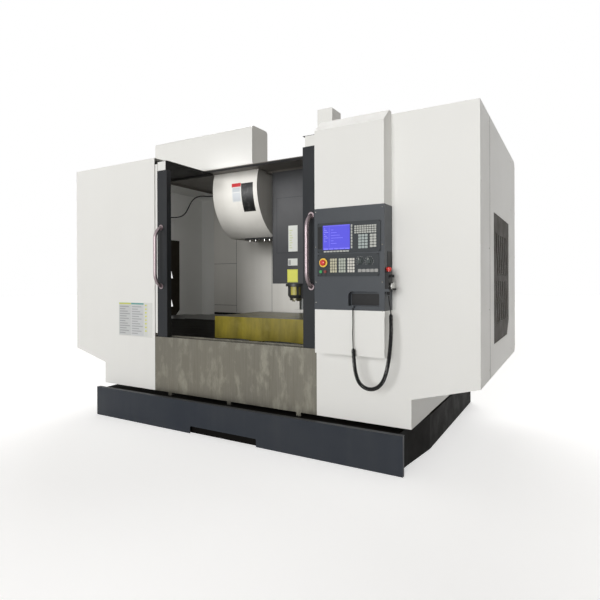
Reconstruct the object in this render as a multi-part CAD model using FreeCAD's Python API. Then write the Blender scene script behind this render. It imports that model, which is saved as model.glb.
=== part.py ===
import FreeCAD, Part
import math
import os

V = FreeCAD.Vector
X, Y, Z = V(1, 0, 0), V(0, 1, 0), V(0, 0, 1)
os.makedirs("parts", exist_ok=True)

# A vertical machining centre. All sizes are in millimetres. Heights are from the floor, X is
# from the machine's middle, and depths start at the front face of the tank fascia. The parts
# are moved at the end, so that the origin lies under the middle of the whole machine.
sheet = 3                # enclosure sheet
touch = 0.3              # gap between a sliding face and its seat
fit = 0.05               # radial clearance of a turning fit

# enclosure
face_y = 120             # front of the front panels
panel_x = 1622           # where the front panels meet the side covers
cover_x = 2085           # outer faces of the side covers
panel_bottom = 299
cover_low = 510          # lower edge of a side cover at its inner side
cover_edge = 630         # lower edge of a side cover at its outer side
cover_corner = 75        # radius of a side cover's corners at the rear
top_z = 2543
opening_left = 899
opening_right = 869
sill_z = 817
roof_y = 800             # front edge of the roof
wall_y = 1850            # inner rear wall
rear_y = 2131            # rear of the side covers
wall_bottom = 930
roof_lip = 25
roof_gap = 12            # between the head's carriage and the edge of the roof's opening
roof_thick = 3
hood_x = (-1610, -230)
hood_deep = 280
hood_top = 2940
column_gap = 370         # half width of the rear wall's opening
window_y = (710, 1640)
window_z = (860, 1870)

# bed, column, slides
bed_x = 1100
bed_y = (700, 2550)
bed_z = (60, 540)
tongue_y = 350
tongue_x = 620
column_x = 330
column_foot = 520
column_y = (1900, 2450)
column_top = 2850
column_wall = 65
bed_slope = 100          # fall of the bed's top towards the chip troughs
bed_wall = 60
rail_width = 45
rail_height = 45
block_width = 100
y_rail_x = 450
x_rail_y = 250           # rails from the saddle's middle line
z_rail_x = 220
z_rail_low = 1100
rail_end = 100           # from the top of the column to the end of its rails
carriage_x = 278         # half width of the head's carriage
carriage_z = (1450, 2150)
carriage_block = 180     # length of a block on the column's rails
saddle_y = 1185          # middle of the saddle and of the table
saddle_half = 330
saddle_top = 690
saddle_x = 1150
bracket_x = 1880
table_mid = 100          # middle of the table at rest
table_half_x = 800
table_half_y = 415
table_top = 980
slot_pitch = 125
slot_width = 18

# way covers
plate_long = 450
plate_step = 8
x_plate_half = 395
x_plate_top = 935
x_plate_low = 705
y_plate_long = 320
y_plate_half = 620
y_plate_top = 690
y_plate_front = 170

# head
head_top = 2250
head_low = 1345
head_half = 215
spindle_y = 1280
quill_r = 80
shaft_r = 45
nose_z = 1140
taper_r = 34.9
taper_deep = 102
cover_half = 250
cover_z = (1320, 2560)
z_motor_half = 100
z_motor_top = 3430

# tool changer
magazine_x = (-900, -300)
magazine_mid = (1550, 2360)
magazine_r = 570
magazine_sweep = 64.86   # degrees from the level of its middle down to its open lower edge
magazine_z = magazine_mid[1] - magazine_r * math.sin(math.radians(magazine_sweep))
disc_mid = (1520, 2200)
disc_r = 300
disc_from_wall = 120
pots = 12
pot_inset = 50           # from the disc's rim to the middle of a pot
pot_long = 120
pot_bore = 25
pot_mouth = 32
arm_mid = (-355, 1600)
arm_half = 200
arm_grip = 26

# doors
door_x = (744, 870, 1750)    # leading edge, post, far edge, from the middle at rest
door_y = (130, 170)
door_top = 2500
flap_y = 795
post_top = 2411
grip_z = (1286, 1881)
grip_x = 820
grip_y = 50
grip_r = 16
grip_bend = 120          # radius of the handle's curved ends
grip_sides = 24
pane_x = (960, 1560)
pane_z = (1150, 2050)

# tank
fascia_x = 1598
fascia_z = 282
tank_y = 28
tank_top = 270
tank_rear = 2350
tank_x = (1540, 1559, 1611)
tank_bend_y = (239, 651)
trough_wall = 40
trough_floor = 12

# control
tower_x = (938, 1481)
tower_y = -35
tower_z = (813, 2466)
housing_z = 1882
housing_low = (1155, 1092)
bezel = (967, 1459, 1553, 1772)
screen = (1012, 1229, 1575, 1754)
operator = (966, 1447, 1382, 1543)
pocket = (1212, 1446, 1169, 1272)
pocket_deep = 45
face_plate = 8           # bezel and operator plate stand this far off the housing
estop_at = (1016, 1482)
estop_stem = 12
buttons_x = (996, 1032)
buttons_z = 1416
button_stem = 9
press_room = 8           # depth of the holes behind the buttons
knobs_at = ((1306, 1489), (1375, 1487))
pendant = (1488, 1514, -38, 30, 1277, 1412)
wheel_r = 30
wheel_gap = 11           # from the pendant's face to the back of its wheel

# rear cabinet
cabinet_x = 850
cabinet_y = (2550, 3000)
cabinet_z = (150, 2250)
cabinet_door = 27

estop_proud = 35
front_y = tower_y - estop_proud
back_y = cabinet_y[1] + cabinet_door + 3


def box(x0, x1, y0, y1, z0, z1):
    corner = V(min(x0, x1), min(y0, y1), min(z0, z1))
    return Part.makeBox(abs(x1 - x0), abs(y1 - y0), abs(z1 - z0), corner)


def prism(points, place, direction):
    corners = [place(a, b) for a, b in points]
    return Part.Face(Part.makePolygon(corners + corners[:1])).extrude(direction)


def along_x(points, x0, x1):
    return prism(points, lambda y, z: V(x0, y, z), V(x1 - x0, 0, 0))


def along_y(points, y0, y1):
    return prism(points, lambda x, z: V(x, y0, z), V(0, y1 - y0, 0))


def along_z(points, z0, z1):
    return prism(points, lambda x, y: V(x, y, z0), V(0, 0, z1 - z0))


def rod(radius, start, end):
    return Part.makeCylinder(radius, (end - start).Length, start, end - start)


def cone(r0, r1, start, end):
    return Part.makeCone(r0, r1, (end - start).Length, start, end - start)


def ring_of(radius, centre, direction, sides):
    """A closed ring with flat sides, square to the direction given."""
    across = direction.cross(X if abs(direction.z) > 0.9 * direction.Length else Z).normalize()
    up = direction.cross(across).normalize()
    turns = [2 * math.pi * (k + 0.5) / sides for k in range(sides)]
    points = [centre + across * (radius * math.cos(t)) + up * (radius * math.sin(t)) for t in turns]
    return Part.makePolygon(points + points[:1])


def flat_sided(r0, r1, start, end, sides=16):
    """A plain, quick stand-in for a round bar or cone where many are alike."""
    rings = [ring_of(r, centre, end - start, sides) for r, centre in ((r0, start), (r1, end))]
    return Part.makeLoft(rings, True, True)


def union(shapes):
    joined = shapes[0]
    if len(shapes) > 1:
        joined = joined.fuse(shapes[1:])
    return joined.removeSplitter()


def runs_along(edge, direction):
    return abs(abs(edge.tangentAt(edge.FirstParameter).dot(direction)) - 1) < 1e-6


def rounded(shape, radius, direction):
    """The shape with all of its edges along one direction rounded."""
    return shape.makeFillet(radius, [edge for edge in shape.Edges if runs_along(edge, direction)])


def mirrored(shape):
    return shape.mirror(V(0, 0, 0), X)


def save(name, shape):
    moved = shape.copy()
    moved.translate(V(0, -(front_y + back_y) / 2, 0))
    moved.exportStep("parts/" + name + ".step")


def rail_points(grow=0):
    """Half-waisted section of a guide rail, width across, height up, grown all round."""
    half = rail_width / 2 + grow
    waist = half - 5.5
    low, high = 0.31 * rail_height, 0.73 * rail_height
    side = [(half, -grow), (half, low), (waist, low + 6), (waist, high - 6), (half, high),
            (half, rail_height + grow)]
    return side + [(-a, b) for a, b in reversed(side)]


def block_points(reach):
    """Outline of a carriage that reaches round a rail, open to the rail's foot."""
    half = block_width / 2
    low = 0.2 * rail_height
    cut = [(a, b) for a, b in rail_points(touch) if b > 0]
    inner = [(cut[0][0], low)] + cut + [(cut[-1][0], low)]
    return [(-half, low), (-half, reach), (half, reach), (half, low)] + inner


# machine bed, column and their guide rails

def foot_places():
    rows = [bed_y[0] + 120 + i * (bed_y[1] - bed_y[0] - 240) / 3 for i in range(4)]
    return [(x, y) for x in (-bed_x + 150, bed_x - 150) for y in rows]


def leveling_feet():
    feet = []
    for x, y in foot_places():
        pad = flat_sided(75, 60, V(x, y, 0), V(x, y, 22))
        stud = flat_sided(16, 16, V(x, y, 22), V(x, y, bed_z[0]), 12)
        corners = [(x + 30 * math.cos(math.pi * k / 3), y + 30 * math.sin(math.pi * k / 3)) for k in range(6)]
        feet.append(union([pad, stud, along_z(corners, 34, 48)]))
    return Part.makeCompound(feet)


def machine_bed():
    top = bed_z[1]
    low_top = top - bed_slope
    section = [(-bed_x, bed_z[0]), (bed_x, bed_z[0]), (bed_x, low_top), (tongue_x, top),
               (-tongue_x, top), (-bed_x, low_top)]
    front = along_y(section, bed_y[0], wall_y)
    rear = box(-bed_x, bed_x, wall_y, bed_y[1], bed_z[0], low_top)
    foot = box(-column_foot - 40, column_foot + 40, wall_y, bed_y[1], low_top, top + 20)
    tongue = along_x([(tongue_y, top), (tongue_y, top - 150), (bed_y[0], 300), (bed_y[0], top)],
                     -tongue_x, tongue_x)
    solid = union([front, rear, foot, tongue])
    wall = bed_wall
    columns = 6
    rows = 5
    wide = (2 * bed_x - wall * (columns + 1)) / columns
    deep = (bed_y[1] - bed_y[0] - wall * (rows + 1)) / rows
    cores = []
    for i in range(columns):
        x = -bed_x + wall + i * (wide + wall)
        for j in range(rows):
            y = bed_y[0] + wall + j * (deep + wall)
            cores.append(box(x, x + wide, y, y + deep, bed_z[0], low_top - wall))
    for j in range(rows):
        y = bed_y[0] + wall + j * (deep + wall) + 40
        cores.append(box(-bed_x, -bed_x + wall, y, y + deep - 80, 180, 340))
        cores.append(box(bed_x - wall, bed_x, y, y + deep - 80, 180, 340))
    solid = solid.cut(Part.makeCompound(cores))
    bosses = [rod(55, V(x, y, bed_z[0]), V(x, y, low_top - wall)) for x, y in foot_places()]
    rails = [along_y([(x + a, top + b) for a, b in rail_points()], tongue_y + 60, wall_y - 30)
             for x in (-y_rail_x, y_rail_x)]
    return union([solid] + bosses + rails)


def column():
    top = bed_z[1] + 20
    half = [(column_foot, top), (column_foot, top + 340), (column_x, top + 790), (column_x, column_top)]
    body = along_y(half + [(-a, b) for a, b in reversed(half)], column_y[0], column_y[1])
    wall = column_wall
    wide = (2 * column_x - 3 * wall) / 2
    floors = 4
    tall = (column_top - top - wall * (floors + 1)) / floors
    cores = []
    for i in range(floors):
        z = top + wall + i * (tall + wall)
        for x in (wall / 2, -wall / 2 - wide):
            cores.append(box(x, x + wide, column_y[0] + 110, column_y[1], z, z + tall))
    body = body.cut(Part.makeCompound(cores))
    rails = [along_z([(x + a, column_y[0] - b) for a, b in rail_points()], z_rail_low, column_top - rail_end)
             for x in (-z_rail_x, z_rail_x)]
    return union([body] + rails)


def saddle():
    low = bed_z[1] + 60
    pieces = [box(-saddle_x, saddle_x, saddle_y - saddle_half, saddle_y + saddle_half, low, saddle_top)]
    arm_y = 200
    arm = 50
    for side in (-1, 1):
        for y in (saddle_y - arm_y - arm, saddle_y + arm_y):
            pieces.append(box(side * saddle_x, side * bracket_x, y, y + arm, low + 20, saddle_top))
        end = along_x([(saddle_y - x_plate_half + 15, low + 90), (saddle_y - arm_y - arm, low + 10),
                       (saddle_y + arm_y + arm, low + 10), (saddle_y + x_plate_half - 15, low + 90),
                       (saddle_y + x_plate_half - 15, x_plate_top - 3 * plate_step - sheet),
                       (saddle_y - x_plate_half + 15, x_plate_top - 3 * plate_step - sheet)],
                      side * bracket_x, side * (bracket_x + 20))
        pieces.append(end)
    for x in (-y_rail_x, y_rail_x):
        for y in (saddle_y - 230, saddle_y + 230):
            points = [(x + a, bed_z[1] + b) for a, b in block_points(60)]
            pieces.append(along_y(points, y - 80, y + 80))
    for y in (saddle_y - x_rail_y, saddle_y + x_rail_y):
        section = [(y + a, saddle_top + b) for a, b in rail_points()]
        pieces.append(along_x(section, -saddle_x + 20, saddle_x - 20))
    body = union(pieces)
    slots = [box(x - 130, x + 130, saddle_y - 170, saddle_y + 170, low, saddle_top)
             for x in (-930, 0, 930)]
    return body.cut(Part.makeCompound(slots))


def table():
    low = saddle_top + 60
    shelf = table_top - 100
    foot = x_rail_y + block_width / 2 + 20
    half = [(table_half_y, table_top), (table_half_y, shelf), (foot + 30, shelf - 30), (foot, low)]
    body = along_x([(saddle_y + a, b) for a, b in half] + [(saddle_y - a, b) for a, b in reversed(half)],
                   table_mid - table_half_x, table_mid + table_half_x)
    cuts = []
    for i in range(-2, 3):
        y = saddle_y + i * slot_pitch
        w = slot_width / 2
        cuts.append(along_x([(y - w, table_top + 1), (y - w, table_top - 24), (y - w - 7, table_top - 24),
                             (y - w - 7, table_top - 38), (y + w + 7, table_top - 38),
                             (y + w + 7, table_top - 24), (y + w, table_top - 24), (y + w, table_top + 1)],
                            table_mid - table_half_x - 1, table_mid + table_half_x + 1))
    cuts.append(box(table_mid - 700, table_mid + 700, saddle_y - 170, saddle_y + 170, low, shelf - 40))
    body = body.cut(Part.makeCompound(cuts))
    blocks = []
    for x in (table_mid - 350, table_mid + 350):
        for y in (saddle_y - x_rail_y, saddle_y + x_rail_y):
            points = [(y + a, saddle_top + b) for a, b in block_points(60)]
            blocks.append(along_x(points, x - 90, x + 90))
    return union([body] + blocks)


# telescopic way covers: each plate is a channel with a wiper lip over the next smaller one

def x_plate(side, start, k):
    """Plate k of one side, k=0 the largest at the table, its table end at start."""
    half = x_plate_half - k * plate_step
    top = x_plate_top - k * plate_step
    end = start + side * plate_long
    outer = box(start, end, saddle_y - half, saddle_y + half, x_plate_low, top)
    inner = box(start, end, saddle_y - half + sheet, saddle_y + half - sheet, x_plate_low, top - sheet)
    plate = outer.cut(inner)
    if k < 3:
        lip = box(end - side * 12, end, saddle_y - half + sheet, saddle_y + half - sheet,
                  top - plate_step + touch, top - sheet)
        plate = union([plate, lip])
    return plate


def x_plates(k):
    pair = []
    for side in (-1, 1):
        near = table_mid + side * table_half_x
        far = side * (bracket_x - plate_long)
        pair.append(x_plate(side, near + (far - near) * k / 3, k))
    return Part.makeCompound(pair)


def y_plate(k):
    """Plate k of the front way cover, k=0 on the saddle and k=2 fixed to the bed."""
    half = y_plate_half - k * plate_step
    top = y_plate_top - k * plate_step
    saddle_end = saddle_y - saddle_half - y_plate_long
    start = saddle_end + (y_plate_front - saddle_end) * k / 2
    low = bed_z[1] + (0 if k == 2 else touch)
    outer = box(-half, half, start, start + y_plate_long, low, top)
    inner = box(-half + sheet, half - sheet, start, start + y_plate_long, low, top - sheet)
    plate = outer.cut(inner)
    if k < 2:
        lip = box(-half + sheet, half - sheet, start, start + 12, top - plate_step + touch, top - sheet)
        return union([plate, lip])
    end = box(-half, half, start, start + sheet, bed_z[1] - 60, top)
    return union([plate, end])


# head

def head_casting():
    nose = quill_r + 15
    arc = Part.Arc(V(nose, spindle_y, head_low), V(0, spindle_y - nose, head_low),
                   V(-nose, spindle_y, head_low)).toShape()
    line = [V(-nose, spindle_y, head_low), V(-head_half, spindle_y + 140, head_low),
            V(-head_half, column_y[0] - 120, head_low), V(head_half, column_y[0] - 120, head_low),
            V(head_half, spindle_y + 140, head_low), V(nose, spindle_y, head_low)]
    wire = Part.Wire([arc] + [Part.makeLine(a, b) for a, b in zip(line[:-1], line[1:])])
    body = Part.Face(wire).extrude(V(0, 0, head_top - head_low))
    relief = along_x([(spindle_y + 250, head_low), (column_y[0] - 120, head_low),
                      (column_y[0] - 120, head_low + 180)], -head_half, head_half)
    body = body.cut(relief)
    back = column_y[0] - 60
    plate = box(-carriage_x, carriage_x, column_y[0] - 120, back, carriage_z[0], carriage_z[1])
    blocks = []
    for x in (-z_rail_x, z_rail_x):
        points = [(x + a, column_y[0] - b) for a, b in block_points(60)]
        for z in (carriage_z[0] + 10, carriage_z[1] - 10 - carriage_block):
            blocks.append(along_z(points, z, z + carriage_block))
    body = union([body, plate] + blocks)
    quill = rod(quill_r, V(0, spindle_y, head_low), V(0, spindle_y, head_low + 405))
    above = rod(60, V(0, spindle_y, head_low), V(0, spindle_y, head_top))
    core = box(-150, 150, spindle_y + 170, column_y[0] - 180, head_low + 240, head_top)
    return body.cut(Part.makeCompound([quill, above, core]))


def head_cover():
    y0, y1 = spindle_y - 100, column_y[0] - 120
    outer = rounded(box(-cover_half, cover_half, y0, y1 + 60, cover_z[0], cover_z[1]), 30, Z)
    inner = rounded(box(-cover_half + sheet, cover_half - sheet, y0 + sheet, y1 + 90,
                        cover_z[0] - 1, cover_z[1] - sheet), 27, Z)
    rear = box(-cover_half, cover_half, y1, y1 + 100, cover_z[0] - 1, cover_z[1] + 1)
    return outer.cut(inner).cut(rear)


def spindle_motor():
    half = 140
    top = cover_z[1] - 20
    body = rounded(box(-half, half, spindle_y - 90, spindle_y + 190, head_top + 20, top), 25, Z)
    flange = box(-half, half, spindle_y - 90, spindle_y + 190, head_top, head_top + 20)
    fan = rod(95, V(0, spindle_y + 50, top), V(0, spindle_y + 50, top + 12))
    return union([body, flange, fan])


def on_spindle(z):
    return V(0, spindle_y, z)


def spindle_housing():
    low = nose_z + 25
    steps = [(110, low + 125, low + 153), (92, low + 153, head_low),
             (quill_r - fit / 2, head_low, head_low + 400)]
    body = union([rod(r, on_spindle(a), on_spindle(b)) for r, a, b in steps]
                 + [cone(68, 86, on_spindle(low), on_spindle(low + 30)),
                    rod(86, on_spindle(low + 30), on_spindle(low + 125))])
    return body.cut(rod(shaft_r + fit, on_spindle(low - 5), on_spindle(head_low + 401)))


def spindle_shaft():
    steps = [(64, nose_z, nose_z + 23), (shaft_r, nose_z + 23, head_low + 420),
             (30, head_low + 420, head_top - 70), (48, head_top - 70, head_top - 5)]
    body = union([rod(r, on_spindle(a), on_spindle(b)) for r, a, b in steps])
    taper = cone(taper_r, taper_r - taper_deep * 7 / 48, on_spindle(nose_z), on_spindle(nose_z + taper_deep))
    keys = [box(-13, 13, spindle_y + a, spindle_y + b, nose_z - 12, nose_z)
            for a, b in ((38, 60), (-60, -38))]
    return union([body.cut(taper)] + keys)


def z_motor():
    half = z_motor_half
    mid = (column_y[0] + column_y[1]) / 2 - 75
    section = [(-half, column_top), (half + 60, column_top), (half + 60, column_top + 90),
               (half, column_top + 220), (half, z_motor_top), (-half, z_motor_top)]
    return rounded(along_y(section, mid - 120, mid + 120), 12, Y)


# tank

def coolant_tank():
    inner = bed_x + 20
    half = [(tank_x[0], tank_y), (tank_x[1], tank_bend_y[0]), (tank_x[2], tank_bend_y[1]),
            (tank_x[2], tank_rear), (inner, tank_rear), (inner, bed_y[0] - 20)]
    body = along_z(half + [(-x, y) for x, y in reversed(half)], 0, tank_top)
    wide = tank_x[2] - inner
    for x in (-tank_x[2], inner):
        body = body.cut(box(x + trough_wall, x + wide - trough_wall, bed_y[0] + 60, tank_rear - 60,
                            trough_floor, tank_top))
    return body


def tank_fascia():
    front = box(-fascia_x, fascia_x, 0, sheet, 0, fascia_z)
    flange = box(-fascia_x, fascia_x, 0, tank_y + 12, fascia_z - sheet, fascia_z)
    ends = [box(x, x + sheet, 0, tank_y, 0, fascia_z) for x in (-fascia_x, fascia_x - sheet)]
    ribs = [box(x - 2, x + 2, sheet, tank_y, 0, fascia_z - sheet) for x in (-1500, -700, 700, 1500)]
    body = union([front, flange] + ends + ribs)
    body = body.cut(rounded(box(-341, 372, -1, sheet + 1, -30, 65), 12, Y))
    return body


# enclosure

def front_panel(side, opening):
    """Front sheet with its top return, bottom return and the low return at its outer side."""
    inner, outer = side * opening, side * panel_x
    pieces = [box(inner, outer, face_y, face_y + sheet, panel_bottom, top_z),
              box(inner, outer, face_y, roof_y, top_z - sheet, top_z),
              box(inner, outer, face_y, face_y + 40, panel_bottom, panel_bottom + sheet),
              box(outer - side * sheet, outer, face_y, face_y + 480, panel_bottom, cover_low)]
    return union(pieces)


def front_apron():
    shelf = sill_z - sheet
    track = door_y[0] + 60
    pieces = [box(-opening_left, opening_right, face_y, face_y + sheet, panel_bottom, sill_z),
              box(-opening_left, opening_right, face_y, track + sheet, shelf, sill_z),
              box(-door_x[2] - 10, door_x[2] + 10, face_y + sheet, track + sheet, shelf, sill_z),
              box(-door_x[2] - 10, door_x[2] + 10, track, track + sheet, shelf, sill_z + 12),
              box(-opening_left, opening_right, face_y, face_y + 30, panel_bottom, panel_bottom + sheet)]
    for x in (-703, 0, 703):
        pieces.append(box(x - 20, x + 20, face_y, face_y + sheet, tank_top, panel_bottom))
        pieces.append(box(x - 20, x + 20, face_y, face_y + 40, tank_top, tank_top + sheet))
    return union(pieces)


def window_outline(grow=0):
    y0, y1 = window_y[0] - grow, window_y[1] + grow
    z0, z1 = window_z[0] - grow, window_z[1] + grow
    corner = 130
    return [(y0, z0), (y1 - corner, z0), (y1, z0 + corner), (y1, z1), (y0, z1)]


def rounded_at_rear(section, y0, y1, radius):
    """A section carried along Y, with its top and bottom edges rounded where it ends."""
    solid = along_y(section, y0, y1)
    rear = [edge for edge in solid.Edges
            if edge.BoundBox.YMin > y1 - 1 and edge.BoundBox.XLength > edge.BoundBox.ZLength]
    return solid.makeFillet(radius, rear)


def side_cover():
    """Right side cover: outer wall, top, sloping floor and both ends, open to the inside."""
    x0, x1 = panel_x, cover_x
    slope = (cover_edge - cover_low) / (x1 - x0)
    outer = [(x0, cover_low), (x1, cover_edge), (x1, top_z), (x0, top_z)]
    inner = [(x0 - sheet, cover_low + sheet * (1 - slope)), (x1 - sheet, cover_edge + sheet * (1 - slope)),
             (x1 - sheet, top_z - sheet), (x0 - sheet, top_z - sheet)]
    shell = rounded_at_rear(outer, face_y, rear_y, cover_corner)
    shell = shell.cut(rounded_at_rear(inner, face_y + sheet, rear_y - sheet, cover_corner - sheet))
    return shell.cut(along_x(window_outline(), x1 - sheet - 1, x1 + 1))


def window_guard():
    """Plate behind the side window, with two rows of slanted slots."""
    x1 = cover_x - sheet
    plate = along_x(window_outline(30), x1 - sheet, x1)
    cuts = []
    slant = 90
    wide = 46
    for z0, z1 in ((window_z[0] + 150, window_z[0] + 480), (window_z[0] + 530, window_z[1] - 150)):
        count = 6
        for i in range(count):
            y = window_y[0] + 110 + i * 118
            cuts.append(along_x([(y + slant, z0), (y + slant + wide, z0), (y + wide, z1), (y, z1)],
                                x1 - sheet - 1, x1 + 1))
    return plate.cut(Part.makeCompound(cuts))


def roof_panel():
    hole_x = carriage_x + roof_gap
    hole_y = spindle_y - 120
    z0 = top_z - roof_lip + 2
    skin = box(-panel_x, panel_x, roof_y, wall_y + sheet, top_z - 1, top_z - 1 + roof_thick)
    lips = [box(-panel_x, panel_x, roof_y, roof_y + sheet, z0, top_z),
            box(-panel_x, panel_x, wall_y, wall_y + sheet, z0, top_z),
            box(-panel_x, -panel_x + sheet, roof_y, wall_y, z0, top_z),
            box(panel_x - sheet, panel_x, roof_y, wall_y, z0, top_z),
            box(-hole_x - sheet, -hole_x, hole_y, wall_y, z0, top_z),
            box(hole_x, hole_x + sheet, hole_y, wall_y, z0, top_z),
            box(-hole_x - sheet, hole_x + sheet, hole_y - sheet, hole_y, z0, top_z)]
    return union([skin] + lips).cut(box(-hole_x, hole_x, hole_y, wall_y + 10, z0 - 1, top_z + 3))


def roof_hood():
    low = top_z - 1 + roof_thick
    return rounded(box(hood_x[0], hood_x[1], roof_y, roof_y + hood_deep, low, hood_top), 35, X)


def rear_wall():
    z1 = top_z - roof_lip + 2
    half = column_gap
    pieces = [box(-panel_x, panel_x, wall_y, wall_y + sheet, wall_bottom, wall_bottom + 70),
              box(-panel_x, -half, wall_y, wall_y + sheet, wall_bottom, z1),
              box(half, panel_x, wall_y, wall_y + sheet, wall_bottom, z1)]
    for side in (-1, 1):
        pieces.append(box(side * panel_x, side * (panel_x - sheet), wall_y, rear_y, wall_bottom, z1))
        pieces.append(box(side * half, side * (half + sheet), wall_y, column_y[0], wall_bottom + 70, z1))
        pieces.append(box(side * (column_x - 30), side * (half + sheet), column_y[0] - sheet, column_y[0],
                          wall_bottom + 70, z1))
    pieces.append(box(-panel_x, panel_x, wall_y, column_y[0], wall_bottom, wall_bottom + sheet))
    return union(pieces)


# doors, drawn for the right side and mirrored for the left

def door():
    y0, y1 = door_y
    skin = box(door_x[1], door_x[2], y0, y1, sill_z + 33, door_top - sheet)
    skin = skin.cut(box(door_x[1] + sheet, door_x[2] - sheet, y0 + sheet, y1 + 1,
                        sill_z + 33 + sheet, door_top - 20))
    skin = skin.cut(box(pane_x[0], pane_x[1], y0 - 1, y0 + sheet + 1, pane_z[0], pane_z[1]))
    flap = box(door_x[0], door_x[2], y0, flap_y, door_top - sheet, door_top)
    lips = [box(door_x[0], door_x[2], flap_y - sheet, flap_y, door_top - 20, door_top),
            box(door_x[0], door_x[0] + sheet, y0 + 60, flap_y, door_top - 20, door_top)]
    pads = [box(x, x + 60, y0 + 10, y0 + 60 - touch, sill_z + touch, sill_z + 33)
            for x in (door_x[1] + 60, door_x[2] - 120)]
    return union([skin, flap] + lips + pads)


def door_post():
    y0 = door_y[0] - 2
    y1 = y0 + 55
    shell = box(door_x[0], door_x[1], y0, y1, sill_z + 3, post_top)
    shell = shell.cut(box(door_x[0] + sheet, door_x[1] - sheet, y0 + sheet, y1 + 1,
                          sill_z + 2, post_top - sheet))
    tab = box(door_x[0] + 20, door_x[1] - 20, door_y[0] + 4, door_y[0] + 4 + sheet,
              post_top - sheet, door_top - sheet)
    foot = box(door_x[0] + 20, door_x[1] - 20, y0 + sheet, y1, sill_z + touch, sill_z + 40)
    return union([shell, tab, foot])


def door_handle():
    """A straight grip between two bent ends, cut flat where they meet their bosses on the post."""
    post_face = door_y[0] - 2
    swing = math.acos(1 - (post_face - grip_y) / grip_bend)
    rise = grip_bend * math.sin(swing)
    ends = (grip_z[0] + grip_r, grip_z[1] - grip_r)
    pieces = [flat_sided(grip_r, grip_r, V(grip_x, grip_y, ends[0] + rise),
                         V(grip_x, grip_y, ends[1] - rise), grip_sides)]
    for end, way in zip(ends, (1, -1)):
        centre = V(grip_x, grip_y + grip_bend, end + way * rise)
        section = Part.Face(ring_of(grip_r, V(grip_x, grip_y, centre.z), Z, grip_sides))
        bend = section.revolve(centre, X, way * math.degrees(1.15 * swing))
        past = box(grip_x - 2 * grip_r, grip_x + 2 * grip_r, post_face, post_face + grip_bend,
                   end - grip_bend, end + grip_bend)
        pieces.append(bend.cut(past))
        pieces.append(rod(grip_r + 10, V(grip_x, post_face - 5, end), V(grip_x, post_face, end)))
    return union(pieces)


def door_glass():
    edge = 30
    return box(pane_x[0] - edge, pane_x[1] + edge, door_y[0] + sheet, door_y[0] + sheet + 8,
               pane_z[0] - edge, pane_z[1] + edge)


# control tower and hand pendant

def housing_outline(grow=0):
    return [(tower_x[0], housing_z), (tower_x[0], housing_low[0]), (tower_x[1] + grow, housing_low[1]),
            (tower_x[1] + grow, housing_z)]


def control_tower():
    side = [(face_y, tower_z[0]), (tower_y, tower_z[0]), (tower_y, tower_z[1]), (75, tower_z[1] + 94),
            (face_y, tower_z[1] + 94)]
    body = along_x(side, tower_x[0], tower_x[1])
    body = body.cut(along_y(housing_outline(), tower_y - 1, tower_y + pocket_deep + 10))
    return body


def control_housing():
    body = along_y(housing_outline(4), tower_y - 4, tower_y)
    core = along_y(housing_outline(), tower_y, tower_y + pocket_deep + 10)
    wrap = box(tower_x[1], tower_x[1] + 4, tower_y, face_y, housing_low[1], housing_z)
    x0, x1, z0, z1 = pocket
    r = 28
    recess = box(x0, x1, tower_y - 5, tower_y - 4 + pocket_deep, z0, z1)
    upper = [edge for edge in recess.Edges if runs_along(edge, Y) and edge.BoundBox.ZMin > z0 + 1]
    recess = recess.makeFillet(r, upper)
    gland = rod(9, V(x0 + 42, tower_y - 22, z0 - 12), V(x0 + 42, tower_y - 22, z0 + 6))
    stem = box(x0 + 33, x0 + 51, tower_y - 22, tower_y - 4, z0 - 12, z0)
    body = union([body, core, wrap]).cut(recess).cut(button_holes())
    return union([body, gland, stem, pendant_holder()])


def pendant_holder():
    """Clip on the housing's side that the pendant hangs in, open in front and for its lead."""
    px0, px1, py0, py1, pz0, pz1 = pendant
    side = tower_x[1] + 4
    cup = box(side, px1 + 4, py0 - 4, py1 + 4, pz0 - 4, pz0 + 14)
    room = box(px0, px1 + 5, py0, py1, pz0, pz0 + 15)
    lead_slot = box(px0 + 1, px1 + 5, py0 + 18, py1 - 18, pz0 - 5, pz0 + 1)
    front_slot = box(px1 - 1, px1 + 5, py0 + 10, py1 - 10, pz0 - 5, pz0 + 15)
    back = box(side - 1, px0, py0 - 4, py0 + 40, pz0 - 4, pz1 + 10)
    return union([cup.cut(room).cut(lead_slot).cut(front_slot), back])


plate_y = tower_y - 4


def button_holes():
    """Holes for the stems of the emergency stop and the two push buttons."""
    holes = [rod(estop_stem + fit, V(estop_at[0], plate_y - 20, estop_at[1]),
                 V(estop_at[0], plate_y + press_room, estop_at[1]))]
    holes += [rod(button_stem + fit, V(x, plate_y - 20, buttons_z), V(x, plate_y + press_room, buttons_z))
              for x in buttons_x]
    return Part.makeCompound(holes)


def screen_bezel():
    x0, x1, z0, z1 = bezel
    body = rounded(box(x0, x1, plate_y - face_plate, plate_y, z0, z1), 8, Y)
    sx0, sx1, sz0, sz1 = screen
    return body.cut(box(sx0, sx1, plate_y - face_plate - 1, plate_y, sz0, sz1))


def display_screen():
    x0, x1, z0, z1 = screen
    return box(x0, x1, plate_y - face_plate + 3, plate_y, z0, z1)


def operator_plate():
    x0, x1, z0, z1 = operator
    body = rounded(box(x0, x1, plate_y - face_plate + 2, plate_y, z0, z1), 6, Y)
    ex, ez = estop_at
    front = plate_y - face_plate + 2
    ring = rod(36, V(ex, front - 4, ez), V(ex, front, ez))
    body = union([body, ring])
    for x, z in knobs_at:
        body = body.cut(rod(6 + fit, V(x, front - 1, z), V(x, plate_y, z)))
    return body.cut(button_holes())


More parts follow.
